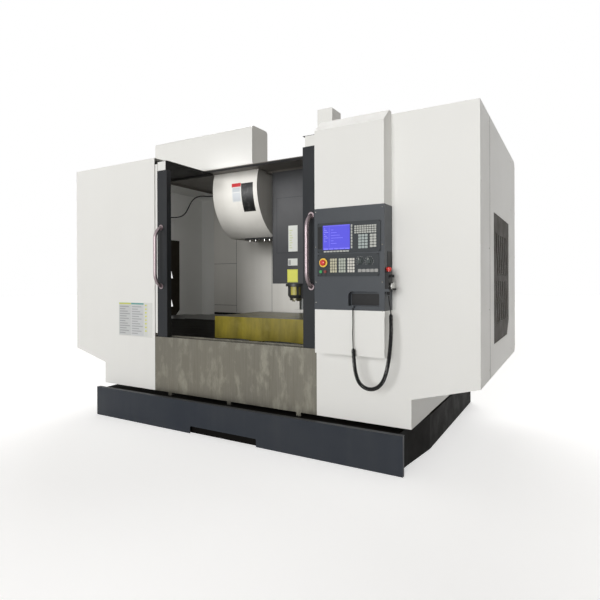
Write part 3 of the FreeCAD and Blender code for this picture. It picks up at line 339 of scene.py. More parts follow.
def tableIron():  # scraped iron above, a yellow-green coat of wax on the sides with runs and thin places
    material = brushed("tableIron", (62, 58, 39), smear=(98, 90, 56), lines=(18, 260, 260), lineHeight=0.2,
                       smudge=0.35, gloss=(0.3, 0.5))
    tree = material.node_tree
    shader, skin = tree.nodes["Principled BSDF"], skinOf(tree)
    place = objectPlace(tree)
    side = spread(tree, upFacing(tree), 0.75, 0.25)
    runs = noise(tree, stretched(tree, place, (7, 7, 1.6)), 1, 6, 0.62)
    thick = spread(tree, runs, 0.38, 0.66)
    wax = blend(tree, thick, tone(112, 101, 24), tone(150, 136, 36))
    wax = blend(tree, spread(tree, noise(tree, place, 9, 4), 0.55, 0.85, 0.0, 0.5), wax, tone(164, 154, 78))
    color = blend(tree, times(tree, side, 0.96), skin.outputs["Color"], wax)
    tree.links.new(color, shader.inputs["Base Color"])
    metal = maths(tree, "SUBTRACT", 0.75, times(tree, side, 0.7), clamp=True)
    tree.links.new(metal, shader.inputs["Metallic"])
    height = times(tree, thick, side)
    bump = addNode(tree, "ShaderNodeBump", {"Height": height, "Strength": 0.5, "Distance": 0.004,
                                            "Normal": skin.outputs["Normal"]})
    tree.links.new(bump.outputs["Normal"], shader.inputs["Normal"])
    shader.inputs["Coat Weight"].default_value = 0.3
    shader.inputs["Coat Roughness"].default_value = 0.25
    return material


def paneGlass():  # laminated window pane, faintly green, with wipe marks in its gloss
    material = bpy.data.materials.new("paneGlass")
    material.use_nodes = True
    tree = material.node_tree
    shader = tree.nodes["Principled BSDF"]
    place = objectPlace(tree)
    marks = noise(tree, stretched(tree, place, (3, 3, 9), (0, 0.6, 0)), 2, 6, 0.6)
    tree.links.new(spread(tree, marks, 0.45, 0.75, 0.02, 0.09), shader.inputs["Roughness"])
    tint = blend(tree, spread(tree, noise(tree, place, 3), 0.3, 0.7), tone(214, 228, 222), tone(224, 234, 230))
    tree.links.new(tint, shader.inputs["Base Color"])
    shader.inputs["Transmission Weight"].default_value = 1.0
    shader.inputs["IOR"].default_value = 1.45
    return material


tableSkin = tableIron()
pane = paneGlass()

finishes = [
    (motorBlack, "leveling_feet spindle_motor"),
    (castGrey, "machine_bed column saddle"),
    (tableSkin, "table"),
    (coverSteel, "x_cover_table_plates x_cover_middle_plates x_cover_inner_plates x_cover_fixed_plates"),
    (shadedWaySteel, "y_cover_saddle_plate y_cover_middle_plate y_cover_front_plate"),
    (headGrey, "head_casting head_cover"),
    (housingSteel, "spindle_housing"),
    (noseSteel, "spindle_shaft"),
    (panelWhite, "z_motor front_left_panel front_right_panel right_side_cover left_side_cover roof_hood "
                 "control_tower electrical_cabinet cabinet_door"),
    (tankDark, "coolant_tank"),
    (fasciaDark, "tank_fascia"),
    (apronSteel, "front_apron"),
    (guardDark, "right_window_guard left_window_guard"),
    (roofWhite, "roof_panel"),
    (innerWhite, "rear_wall magazine_cover"),
    (shadedWhite, "right_door left_door"),
    (postGrey, "right_door_post left_door_post"),
    (tubeChrome, "right_door_handle left_door_handle"),
    (pane, "right_door_glass left_door_glass"),
    (housingGrey, "control_housing"),
    (plateGrey, "screen_bezel operator_plate"),
    (startGreen, "start_button"),
    (holdRed, "hold_button"),
    (knobGrey, "feed_knob speed_knob"),
    (blackMould, "pendant_body axis_knob"),
    (wheelSilver, "pendant_wheel"),
    (spindleSteel, "tool_disc change_arm")]
finished = {nodeName: material for material, names in finishes for nodeName in names.split()}
for nodeName, material in finished.items():
    target = nodes[nodeName]
    if not target.material_slots:
        target.data.materials.append(material)
    for materialSlot in target.material_slots:
        materialSlot.material = material
print("finishes on", len(finished), "nodes")


def quads(rows, columns, wrapRows=False, wrapColumns=False):  # each cell of a grid of points as a face of four
    row, column = np.meshgrid(np.arange(rows if wrapRows else rows - 1),
                              np.arange(columns if wrapColumns else columns - 1), indexing="ij")
    nextRow, nextColumn = (row + 1) % rows, (column + 1) % columns
    corners = [row * columns + column, row * columns + nextColumn,
               nextRow * columns + nextColumn, nextRow * columns + column]
    return np.stack(corners, -1).reshape(-1, 4)


def many(grids, wrapRows=False, wrapColumns=False):  # grids of one size, as one list of points and one of faces
    grids = np.asarray(grids, float)
    count, rows, columns = grids.shape[:3]
    faces = quads(rows, columns, wrapRows, wrapColumns)
    starts = np.arange(count)[:, None, None] * rows * columns
    return grids.reshape(-1, 3), (faces[None] + starts).reshape(-1, 4)


def turned(profile, centres, axis, steps=24):
    # each point is the centre, plus the axis times its height, plus its radius turned round the axis
    axis = np.asarray(axis, float)
    side = np.cross(axis, upward if abs(axis[2]) < 0.9 else across)
    side /= np.linalg.norm(side)
    other = np.cross(axis, side)
    angle = np.linspace(0, 2 * np.pi, steps, endpoint=False)[None, None, :, None]
    radius, height = np.asarray(profile, float).T[:, None, :, None, None] / 1000
    ring = np.cos(angle) * side + np.sin(angle) * other
    grids = np.asarray(centres, float).reshape(-1, 1, 1, 3) + axis * height + radius * ring
    return many(grids, wrapColumns=True)


boxShares = np.array([(0, 0, 0), (1, 0, 0), (1, 1, 0), (0, 1, 0), (0, 0, 1), (1, 0, 1), (1, 1, 1), (0, 1, 1)])
boxFaces = np.array([(0, 3, 2, 1), (4, 5, 6, 7), (0, 1, 5, 4), (1, 2, 6, 5), (2, 3, 7, 6), (3, 0, 4, 7)])


def blocksOf(pairs):  # each block's points lie at shares of the way from its one corner to the other
    low, high = inFrame(pairs)[:, :, None].transpose(1, 0, 2, 3)
    starts = len(boxShares) * np.arange(len(low))[:, None, None]
    return (low + (high - low) * boxShares).reshape(-1, 3), (boxFaces + starts).reshape(-1, 4)


def mirrored(corners):  # a block's two corners, and those of its mirror image on the other side
    (x0, y0, z0), (x1, y1, z1) = corners
    return [corners, ((-x1, y0, z0), (-x0, y1, z1))]


def strip(grid):  # a run of four-cornered sections, closed by a point at each end
    ends = [np.repeat(grid[k].mean(0)[None, None], grid.shape[1], 1) for k in (0, -1)]
    return many([inFrame(np.concatenate([ends[0], grid, ends[1]]))], wrapColumns=True)


def seamStrip(start, end, wide, normal, thick=0.6):  # a thin straight strip that lies on a sheet
    start, end, normal = (np.asarray(v, float) for v in (start, end, normal))
    side = np.cross(end - start, normal)
    side *= wide / 2 / np.linalg.norm(side)
    corners = [start - side, start + side, end + side, end - side]
    return inFrame([corner + normal * lift for lift in (0, thick) for corner in corners]), boxFaces


def linked(name, data):  # a new object in the scene
    obj = bpy.data.objects.new(name, data)
    bpy.context.scene.collection.objects.link(obj)
    return obj


def addPiece(name, shapes, material, body="machine", tints=None, flat=False):
    # shapes lie one after another in one mesh; poles are merged and normals turned outwards
    counts = [len(points) for points, faces in shapes]
    starts = np.cumsum([0] + counts[:-1])
    points = np.concatenate([points for points, faces in shapes])
    faces = np.concatenate([faces + start for (_, faces), start in zip(shapes, starts)])
    mesh = bpy.data.meshes.new(name)
    mesh.from_pydata(points.tolist(), [], faces.tolist())
    if tints is not None:
        shades = np.concatenate([np.tile(shade, (len(shape[0]), 1)) for shade, shape in zip(tints, shapes)])
        layer = mesh.color_attributes.new("tint", "FLOAT_COLOR", "POINT")
        layer.data.foreach_set("color", shades.astype(np.float32).ravel())
    shell = bmesh.new()
    shell.from_mesh(mesh)
    bmesh.ops.remove_doubles(shell, verts=shell.verts, dist=2e-6)
    bmesh.ops.recalc_face_normals(shell, faces=shell.faces)
    shell.to_mesh(mesh)
    shell.free()
    mesh.materials.append(material)
    obj = linked(name, mesh)
    if not flat:
        mesh.shade_smooth()
        mesh.set_sharp_from_angle(angle=math.radians(35))
    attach(obj, body)
    return obj


def addBlocks(name, pairs, material, body="machine"):  # a piece of plain blocks
    return addPiece(name, [blocksOf(pairs)], material, body, flat=True)


hose = {
    "radius": 7, "length": 1.29,
    "route": [(-2082, 1420, 2188), (-1985, 1420, 2188), (-1885, 1400, 2178), (-1790, 1366, 2172),
              (-1700, 1330, 2176), (-1612, 1292, 2195), (-1525, 1245, 2238), (-1437, 1195, 2292),
              (-1345, 1147, 2330), (-1240, 1105, 2345), (-1130, 1072, 2338), (-1015, 1060, 2320),
              (-900, 1060, 2320)]}
pendantCord = {
    "radius": 3.8, "length": 7.4, "curlRadius": 11.0, "curls": 104, "curlPoints": 12, "easeTurns": 1.6,
    "down": [(1254, -57, 1157), (1254, -57, 1099), (1256, -59, 1043), (1254, -60, 986), (1255, -60, 930),
             (1258, -60, 872)],
    "curly": [(1258, -60, 872), (1263, -60, 790), (1273, -61, 705), (1300, -62, 628), (1357, -62, 592),
              (1421, -61, 597), (1472, -57, 640), (1499, -52, 712), (1515, -45, 800), (1522, -35, 890),
              (1524, -20, 975), (1518, 0, 1050), (1512, 10, 1120)],
    "up": [(1512, 10, 1120), (1508, 12, 1160), (1502, 2, 1205), (1501, -4, 1249)]}


def splineCurve(name, points, radius=0.0, resolution=8, rings=3):  # a smooth line led by the route's points
    curve = bpy.data.curves.new(name, "CURVE")
    curve.dimensions = "3D"
    spline = curve.splines.new("NURBS")
    spline.points.add(len(points) - 1)
    spline.points.foreach_set("co", np.c_[points, np.ones(len(points))].ravel())
    spline.order_u = 3
    spline.use_endpoint_u = True
    spline.resolution_u = resolution
    curve.resolution_u = resolution
    curve.bevel_depth = radius
    curve.bevel_resolution = rings
    curve.use_fill_caps = radius > 0
    return linked(name, curve)


def splinePoints(points):  # the points that the spline of a route runs through
    line = splineCurve("routeLine", points)
    mesh = bpy.data.meshes.new_from_object(line)
    found = np.zeros(len(mesh.vertices) * 3)
    mesh.vertices.foreach_get("co", found)
    bpy.data.objects.remove(line)
    return found.reshape(-1, 3)


def curled(points, cord):
    # along the line, each point stands off it by the curl's radius, turned round it once a curl;
    # the radius grows from nothing over the first curls and dies away over the last
    steps = np.linalg.norm(np.diff(points, axis=0), axis=1)
    run = np.r_[0, np.cumsum(steps)]
    share = np.linspace(0, 1, cord["curls"] * cord["curlPoints"] + 1)
    line = np.stack([np.interp(share * run[-1], run, points[:, axis]) for axis in range(3)], -1)
    direction = np.gradient(line, axis=0)
    direction /= np.linalg.norm(direction, axis=1, keepdims=True)
    side = np.cross(direction, inward)
    side /= np.linalg.norm(side, axis=1, keepdims=True)
    other = np.cross(direction, side)
    turn = share * cord["curls"]
    grown = np.clip(np.minimum(turn, cord["curls"] - turn) / cord["easeTurns"], 0, 1)
    radius = (cord["curlRadius"] / 1000 * grown)[:, None]
    angle = (2 * np.pi * turn)[:, None]
    return line + radius * (np.cos(angle) * side + np.sin(angle) * other)


def lineLength(points):  # the sum of the steps from point to point
    return float(np.linalg.norm(np.diff(points, axis=0), axis=1).sum())


hoseRoute = inFrame(hose["route"])
hosePiece = splineCurve("magazineHose", hoseRoute, hose["radius"] / 1000, 12, 4)
hosePiece.data.materials.append(rubberBlack)
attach(hosePiece, "machine")
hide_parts("magazine_hose")

leadRoute = inFrame(pendantCord["down"])
curls = curled(splinePoints(inFrame(pendantCord["curly"])), pendantCord)
cordRoute = np.concatenate([leadRoute[:-1], curls, inFrame(pendantCord["up"])[1:]])
cordPiece = splineCurve("pendantCord", cordRoute, pendantCord["radius"] / 1000, 3, 2)
cordPiece.data.materials.append(cordJacket)
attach(cordPiece, "machine")
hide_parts("pendant_lead", "pendant_coil")
print("cords laid, pendant cord", round(lineLength(cordRoute), 3), "m of control line")

panel = {
    "plateY": -39, "bezelY": -47, "operatorY": -45, "stopAt": (1016, 1482), "knobs": ((1306, 1489), (1375, 1487)),
    "screen": (1012, 1229, 1575, 1754), "screenInset": 2.6, "stopFoot": 4, "lamps": ((996, 1395), (1032, 1395)),
    "capGap": 3, "capRise": 3.0, "capSides": 16, "capPower": 0.35,
    "blocks": [  # x, z, columns, rows, face, colour
        (1264, 1429, 1684, 1741, 9, 4, "bezelY", (176, 178, 172)),
        (1294, 1365, 1577, 1677, 3, 5, "bezelY", (158, 168, 166)),
        (1381, 1429, 1583, 1676, 2, 5, "bezelY", (178, 180, 174)),
        (1237, 1249, 1580, 1750, 1, 8, "bezelY", (170, 172, 168)),
        (1020, 1222, 1557, 1568, 8, 1, "bezelY", (176, 178, 174)),
        (1071, 1125, 1409, 1511, 3, 5, "operatorY", (190, 186, 160)),
        (1140, 1194, 1409, 1511, 3, 5, "operatorY", (176, 182, 170)),
        (1209, 1264, 1409, 1511, 3, 5, "operatorY", (206, 204, 196)),
        (1290, 1440, 1409, 1432, 5, 1, "operatorY", (150, 150, 148))]}


def squared(wave):  # a sine or cosine raised to a small power, so that its circle becomes a rounded square
    return np.sign(wave) * np.abs(wave) ** panel["capPower"]


def keyCaps(block):  # soft caps: rings of a rounded square, drawn in towards the crown
    x0, x1, z0, z1, columns, rows, face, color = block
    gap = panel["capGap"]
    wide, tall = (x1 - x0 + gap) / columns, (z1 - z0 + gap) / rows
    column, row = np.meshgrid(np.arange(columns), np.arange(rows), indexing="ij")
    middles = np.stack([x0 + (column + 0.5) * wide - gap / 2, np.full(column.shape, panel[face]),
                        z0 + (row + 0.5) * tall - gap / 2], -1).reshape(-1, 1, 1, 3)
    angle = np.linspace(0, 2 * np.pi, panel["capSides"], endpoint=False)
    outline = np.stack([squared(np.cos(angle)) * (wide - gap) / 2, 0 * angle,
                        squared(np.sin(angle)) * (tall - gap) / 2], -1)
    rings = np.array([(0.0, 0.0), (1.0, 0.0), (1.0, 0.55), (0.92, 0.9), (0.75, 1.0), (0.0, 0.9)])
    grids = middles + rings[:, 0, None, None] * outline - inward * (rings[:, 1] * panel["capRise"])[:, None, None]
    return many(inFrame(grids), wrapColumns=True)


def plateFields(box, y, fields, step=0.4):
    # flat fields on an upright plate, each a thin block at its shares of the plate's width and height
    x0, x1, z0, z1 = box
    shapes = [blocksOf([((x0 + (x1 - x0) * u0, y, z0 + (z1 - z0) * v0),
                         (x0 + (x1 - x0) * u1, y - step * level, z0 + (z1 - z0) * v1))])
              for u0, v0, u1, v1, level, color in fields]
    return shapes, [tone(*field[5]) for field in fields]


capShapes = [keyCaps(block) for block in panel["blocks"]]
capTints = [tone(*block[7]) for block in panel["blocks"]]
addPiece("keyCaps", capShapes, keyCapsPlastic, tints=capTints)
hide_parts("panel_keys")
lampPlaces = inFrame([(x, panel["operatorY"], z) for x, z in panel["lamps"]])
addPiece("panelLamps", [turned([(0, 0), (8, 0), (8, 2.5), (6.5, 4), (0, 4.4)], lampPlaces, -inward, 20)],
         plateGrey)

stopX, stopZ = panel["stopAt"]
stopFace = inFrame([(stopX, panel["operatorY"] - panel["stopFoot"], stopZ)])
ringProfile = [(13, 0.1), (32.6, 0.1), (33, 0.6), (32, 1.4), (14, 1.4), (13, 0.1)]
addPiece("stopRing", [turned(ringProfile, stopFace, -inward, 48)], ringYellow)
headProfile = [(0, -8), (11.6, -8), (11.6, 7), (18, 7.4), (21, 8.6), (22, 11), (21.6, 13.5), (19.5, 17), (15, 19.6),
               (9, 20.8), (0, 21)]
stopHead = addPiece("stopHead", [turned(headProfile, stopFace, -inward, 40)], stopRed, "estop")
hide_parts("estop_button")

dial = {"tickAt": 31, "tickHalf": 3, "tickWide": 1.4, "tickRise": 0.4, "degrees": range(-135, 136, 27),
        "mark": ((-1.2, -22.4, 6), (1.2, -21.8, 19))}
tickShapes = []
for knobX, knobZ in panel["knobs"]:
    middle = np.array([knobX, panel["operatorY"], knobZ])
    for turn in np.radians(dial["degrees"]):
        radial = np.array([math.sin(turn), 0, math.cos(turn)])
        tickShapes.append(seamStrip(middle + radial * (dial["tickAt"] - dial["tickHalf"]),
                                    middle + radial * (dial["tickAt"] + dial["tickHalf"]),
                                    dial["tickWide"], -inward, dial["tickRise"]))
addPiece("dialTicks", tickShapes, printedFilm, tints=[tone(200, 200, 196)] * len(tickShapes), flat=True)
for (knobX, knobZ), body in zip(panel["knobs"], ("feed_dial", "speed_dial")):
    markCorners = np.array(dial["mark"]) + (knobX, panel["operatorY"], knobZ)
    addPiece(body + "Mark", [blocksOf([markCorners])], keyCapsPlastic, body, [tone(226, 226, 222)], flat=True)

screenFields = [(0, 0, 1, 1, 1, (82, 78, 212)), (0.0, 0.955, 1, 1, 2, (102, 98, 224)),
                (0.235, 0.12, 0.24, 0.93, 2, (150, 146, 250)), (0.0, 0.07, 1, 0.075, 2, (138, 134, 248))]
screenFields += [(0.04, 0.86 - k * 0.075, 0.09 + 0.055 * (k * 7 % 3), 0.87 - k * 0.075, 2, (176, 174, 250))
                 for k in range(8)]
screenFields += [(0.3, 0.8 - k * 0.11, 0.4 + 0.34 * (k * 5 % 4) / 3, 0.812 - k * 0.11, 2, (140, 137, 249))
                 for k in range(6)]
screenFields += [(0.03 + k * 0.195, 0.015, 0.195 + k * 0.195, 0.055, 2, (126, 122, 243)) for k in range(5)]
screenY = panel["bezelY"] + panel["screenInset"]
fieldShapes, fieldTints = plateFields(panel["screen"], screenY, screenFields, 0.2)
addPiece("screenPicture", fieldShapes, litGlass, tints=fieldTints, flat=True)
displayBase = moulded("displayBase", (30, 32, 60), worn=(40, 42, 80), gloss=(0.08, 0.16))
for materialSlot in nodes["display_screen"].material_slots:
    materialSlot.material = displayBase
print("control panel done")


def textRows(u0, u1, top, bottom, rows, color, level=2):  # grey bars of unlike length where lines of print would be
    pitch = (top - bottom) / rows
    return [(u0, top - (k + 0.7) * pitch, u0 + (u1 - u0) * (0.55 + 0.45 * ((k * 7 + 3) % 5) / 4),
             top - (k + 0.3) * pitch, level, color) for k in range(rows)]


chart = {"box": (-1411, -933, 800, 1140), "y": 120}
chartFields = [(0, 0, 1, 1, 1, (214, 215, 211)), (0.01, 0.94, 0.37, 0.985, 2, (186, 196, 84)),
               (0.375, 0.94, 0.75, 0.985, 2, (84, 150, 146)), (0.01, 0.03, 0.37, 0.93, 1.5, (190, 192, 192)),
               (0.375, 0.03, 0.75, 0.93, 1.5, (196, 198, 199)), (0.76, 0.03, 0.86, 0.97, 1.5, (206, 208, 204))]
chartFields += textRows(0.03, 0.34, 0.91, 0.06, 12, (150, 152, 154))
chartFields += textRows(0.4, 0.72, 0.91, 0.06, 12, (158, 160, 162))
chartFields += [(0.79, 0.9 - k * 0.105, 0.835, 0.94 - k * 0.105, 2, (208, 212, 70)) for k in range(8)]
chartShapes, chartTints = plateFields(chart["box"], chart["y"], chartFields)
addPiece("panelChart", chartShapes, printedFilm, tints=chartTints, flat=True)

headLabels = {"y": 1180, "fields": [
    ((-32, 81, 1661, 1937), [(0, 0, 1, 1, 1, (206, 208, 203))] + textRows(0.12, 0.5, 0.86, 0.1, 8, (190, 196, 150))),
    ((-38, 79, 1512, 1586), [(0, 0, 1, 1, 1, (206, 208, 203)), (0.05, 0.1, 0.3, 0.8, 2, (150, 152, 150))]),
    ((-47, 83, 1334, 1472), [(0, 0, 1, 1, 1, (196, 196, 84)), (0.08, 0.07, 0.92, 0.93, 2, (214, 214, 96))])]}
headShapes, headTints = [], []
for box, fields in headLabels["fields"]:
    more, shades = plateFields(box, headLabels["y"], fields)
    headShapes += more
    headTints += shades
addPiece("headLabels", headShapes, printedFilm, "head", headTints, flat=True)

magazine = {"middle": (1550, 2360), "radius": 570, "step": 0.5, "sides": 14}


def bentField(x0, x1, z0, z1, level):  # a thin field that follows the round cover, from one height to another
    midY, midZ = magazine["middle"]
    heights = np.linspace(z0, z1, magazine["sides"])
    rise = np.arcsin((heights - midZ) / magazine["radius"])
    out = magazine["radius"] + magazine["step"] * level
    rows = []
    for x, r in ((x0, magazine["radius"]), (x0, out), (x1, out), (x1, magazine["radius"])):
        rows.append(np.stack([np.full(len(rise), x), midY - r * np.cos(rise), midZ + r * np.sin(rise)], -1))
    return strip(np.stack(rows, 1))


# the last field, near black, is painted shade: it stands for the dark opening in the cover
magazineFields = [(-634, -512, 2212, 2412, 1, (196, 198, 196)), (-634, -512, 2372, 2412, 2, (176, 38, 44)),
                  (-622, -524, 2318, 2362, 2, (168, 172, 176)), (-622, -524, 2222, 2308, 2, (178, 182, 186)),
                  (-508, -352, 2104, 2404, 1, (8, 9, 9))]
addPiece("magazineLabelAndShade", [bentField(*field[:5]) for field in magazineFields], printedFilm,
         tints=[tone(*field[5]) for field in magazineFields])
print("label fields done")

doorPane = {"x": (960, 1560), "z": (1150, 2050), "y": 130, "corner": 40}


def frameLoop(x0, x1, z0, z1, y, corner, steps=8):  # a closed loop round a window, straight sides and round corners
    turn = np.linspace(0, np.pi / 2, steps)
    loops = []
    for quarter, (cx, cz) in enumerate(((x1 - corner, z1 - corner), (x0 + corner, z1 - corner),
                                        (x0 + corner, z0 + corner), (x1 - corner, z0 + corner))):
        angle = turn + quarter * np.pi / 2
        loops.append(np.stack([cx + corner * np.cos(angle), np.full(steps, y), cz + corner * np.sin(angle)], -1))
    return np.concatenate(loops)


def loopRail(loop, section, normal):
    # a section carried round a closed loop: a goes outwards in the loop's plane, b along its normal
    ahead = np.roll(loop, -1, 0) - np.roll(loop, 1, 0)
    ahead /= np.linalg.norm(ahead, axis=1, keepdims=True)
    outwards = np.cross(ahead, normal)
    a, b = np.asarray(section, float).T[:, None, :, None]
    return many([loop[:, None] + a * outwards[:, None] + b * np.asarray(normal)], wrapRows=True, wrapColumns=True)


gasketSection = [(-6, 0), (-4, 5), (0, 7), (10, 7), (14, 4), (15, 0), (15, -2), (-6, -2)]
for name, side in (("right", 1), ("left", -1)):
    (x0, x1), (z0, z1) = doorPane["x"], doorPane["z"]
    loop = frameLoop(x0, x1, z0, z1, doorPane["y"], doorPane["corner"]) * np.array([side, 1, 1])
    points, faces = loopRail(loop, gasketSection, -inward)
    addPiece(name + "DoorGasket", [(inFrame(points), faces)], rubberBlack, name + "_door")


def screwHeads(name, centres, axis, radius, material):  # domed heads with a socket
    profile = [(0, 0.35), (0.42, 0.35), (0.46, 0.62), (0.7, 0.56), (0.92, 0.34), (1, 0.12), (1, -0.1), (0, -0.1)]
    return addPiece(name, [turned(np.array(profile) * radius, inFrame(centres), axis, 14)], material)


screws = {
    "coverX": 2085, "coverY": (150, 480, 1790, 2100), "coverZ": (700, 1140, 1580, 2020, 2480), "coverRadius": 7,
    "rearX": (1650, 2060), "rearY": 2131, "rearZ": (760, 1350, 1940, 2500), "panelRadius": 4,
    "bezelY": ((975, 1451), (1561, 1764)), "operatorY": ((973, 1440), (1389, 1536)),
    "housing": ((950, (1860, 1600, 1340, 1190)), (1469, (1860, 1600, 1340, 1140))), "housingRadius": 4.5}
for name, side in (("right", 1), ("left", -1)):
    spots = [(side * screws["coverX"], y, z) for y in screws["coverY"] for z in screws["coverZ"]]
    screwHeads(name + "CoverScrews", spots, across * side, screws["coverRadius"], panelWhite)
rearSpots = [(side * x, screws["rearY"], z) for side in (-1, 1) for x in screws["rearX"] for z in screws["rearZ"]]
screwHeads("rearCoverScrews", rearSpots, inward, screws["coverRadius"], panelWhite)
plateSpots = [(x, panel[face], z) for face in ("bezelY", "operatorY") for x in screws[face][0]
              for z in screws[face][1]]
screwHeads("panelScrews", plateSpots, -inward, screws["panelRadius"], blackMould)
housingSpots = [(x, panel["plateY"], z) for x, heights in screws["housing"] for z in heights]
screwHeads("housingScrews", housingSpots, -inward, screws["housingRadius"], spindleSteel)

seams = {"wallY": 1850, "wallX": (-1240, -685, 685, 1240), "wallZ": (935, 2515), "cornerX": (1240, 1618),
         "cornerZ": (1030, 1580), "wide": 4, "coverX": 2085, "coverY": 520, "coverZ": (632, 2541),
         "headY": 1180, "headOutline": [(-178, 1650), (178, 1650), (178, 2240), (-178, 2240)], "headWide": 3}
wallY, outline = seams["wallY"], seams["headOutline"]
wallSeams = [seamStrip(*[(x, wallY, z) for z in seams["wallZ"]], seams["wide"], -inward) for x in seams["wallX"]]
wallSeams += [seamStrip(*[(side * x, wallY, z) for x in seams["cornerX"]], seams["wide"], -inward)
              for side in (-1, 1) for z in seams["cornerZ"]]
addPiece("wallSeams", wallSeams, blackMould, flat=True)
coverSeams = [seamStrip(*[(side * seams["coverX"], seams["coverY"], z) for z in seams["coverZ"]], seams["wide"],
                        across * side) for side in (-1, 1)]
addPiece("coverSeams", coverSeams, blackMould, flat=True)
headSeams = [seamStrip((x0, seams["headY"], z0), (x1, seams["headY"], z1), seams["headWide"], -inward)
             for (x0, z0), (x1, z1) in zip(outline, outline[1:] + outline[:1])]
addPiece("headSeams", headSeams, postGrey, "head", flat=True)
print("frames, screws and seams done")

trims = {
    "roofSeal": ((-1600, 798.5, 2517), (1600, 800, 2537)), "skirts": ((540, 1850, 560), (1118, 1853, 932)),
    "outerSkirts": ((1118, 1850, 320), (1618, 1853, 932)), "midSkirts": ((286, 1850, 700), (540, 1853, 932)),
    "lips": ((284, 1847.5, 1002), (374, 1850, 2514)), "hanger": ((763.5, 131, 2413), (866, 133.6, 2497)),
    "sideAprons": ((1619, 600, 302), (1622, 2126, 511)), "pocket": ((1221, 3, 1174), (1437, 4, 1256)),
    "ports": ((972, -47.7, 1584), (1005, -47, 1748)),
    "nozzleBlock": ((92, 1236, 1160), (150, 1300, 1321)),
    "nozzles": ((104, 1262, 1150), (121, 1262, 1146), (138, 1262, 1150))}
addBlocks("roofSeal", [trims["roofSeal"]], rubberBlack)
# the skirts are a real closing sheet; their near-black colour is painted shade for the dark foot of the rear wall
skirts = [pair for part in ("skirts", "outerSkirts", "midSkirts") for pair in mirrored(trims[part])]
addBlocks("wallSkirts", skirts, rubberBlack)
addBlocks("sideAprons", mirrored(trims["sideAprons"]), panelWhite)
addBlocks("wallLips", mirrored(trims["lips"]), innerWhite)
for name, corners in zip(("right", "left"), mirrored(trims["hanger"])):
    addBlocks(name + "Hanger", [corners], panelWhite, name + "_door")
addBlocks("pocketLiner", [trims["pocket"], trims["ports"]], blackMould)
addBlocks("nozzleBlock", [trims["nozzleBlock"]], blackMould, "head")
addPiece("nozzles", [turned([(0, -6), (4.2, -6), (4.2, 2), (7, 5), (7, 16), (0, 16)], inFrame(trims["nozzles"]),
                            upward, 16)], spindleSteel, "head")

sealBar = {"block": ((-700, 1314, 1826), (-330, 1342, 1844)), "studX": (-640, -560, -440, -370), "studY": 1328}
addBlocks("sealBar", [sealBar["block"]], blackMould)
studPlaces = inFrame([(x, sealBar["studY"], sealBar["block"][0][2]) for x in sealBar["studX"]])
addPiece("sealStuds", [turned([(0, -22), (9, -22), (9, -6), (5, -6), (5, 2), (0, 2)], studPlaces, upward, 16)],
         wheelSilver)
# painted highlight: a bright yellow band and a dimmer one beside it on the front of the spindle housing
quill = {"middleY": 1280, "radius": 86, "thick": 0.5, "sides": 10, "z": (1198, 1286),
         "highlightBands": ((-8, 34, (168, 158, 62)), (50, 64, (98, 92, 40)))}


def quillHighlightBand(start, stop):
    # round the spindle's axis, from one bearing to another in degrees from the front, at a radius
    turn = np.radians(np.linspace(start, stop, quill["sides"]))[:, None]
    out = quill["radius"] + quill["thick"] * np.array([[0, 1, 1, 0]])
    high = np.array([np.repeat(quill["z"], 2)])
    return strip(np.stack([out * np.sin(turn), quill["middleY"] - out * np.cos(turn), high + 0 * turn], -1))


addPiece("quillHighlightBands", [quillHighlightBand(start, stop) for start, stop, color in quill["highlightBands"]], printedFilm, "head",
         [tone(*color) for start, stop, color in quill["highlightBands"]])

wedgeY, edgeZ = panel["plateY"], housingEdge["z"]
wedge = np.array([[(x, y, z) for y, z in ((wedgeY, edgeZ), (wedgeY + housingEdge["thick"], edgeZ),
                                          (wedgeY + housingEdge["thick"], high), (wedgeY, high))]
                  for x, high in zip(housingEdge["x"], housingEdge["high"])], float)
addPiece("housingWedge", [strip(wedge)], housingGrey, flat=True)

film = {"x": (-698, 898), "z": (753, 976), "y": 769.4, "thick": 0.8, "deep": 7, "columns": 150, "rows": 9,
        "folds": (49, 131, 207), "hemWave": 83, "hemRise": 4}


def hungFilm(film):
    # a thin sheet hung over the table's front: it stands off the face by folds that deepen towards
    # its lower edge, each fold a sum of two slow waves along the table
    x = np.linspace(*film["x"], film["columns"])[:, None]
    down = np.linspace(0, 1, film["rows"])[None]
    quick, slow, drift = film["folds"]
    fold = 0.5 + 0.28 * np.sin(x / quick) + 0.22 * np.sin(x / slow + 1.3 * np.sin(x / drift))
    y = film["y"] - film["deep"] * fold * (0.15 + 0.85 * down)
    z = film["z"][1] - (film["z"][1] - film["z"][0]) * down + film["hemRise"] * np.sin(x / film["hemWave"]) * down
    back = np.stack([x + 0 * down, y, z], -1)
    front = back - np.array([0, film["thick"], 0])
    return strip(np.concatenate([front, back[:, ::-1]], 1))


addPiece("tableFilm", [hungFilm(film)], tableSkin, "table")
cabinet = {"y": 3027, "louvreX": ((-640, -260), (260, 640)), "louvreZ": (290, 1990), "rows": 9, "pitch": 24,
           "louvre": (-1, 5, 11), "switch": (560, 1480), "handle": ((-812, 3030, 1168), (-788, 3046, 1272)),
           "slotShadeInset": np.array([(6, 0.2, 11), (-6, -4.4, 5)])}
backY, frontY, tall = cabinet["louvre"]
louvres = np.array([((x0, cabinet["y"] + backY, z), (x1, cabinet["y"] + frontY, z + tall))
                    for x0, x1 in cabinet["louvreX"] for low in cabinet["louvreZ"]
                    for z in low + cabinet["pitch"] * np.arange(cabinet["rows"])], float)
addBlocks("cabinetLouvres", louvres, panelWhite, "cabinet_door")
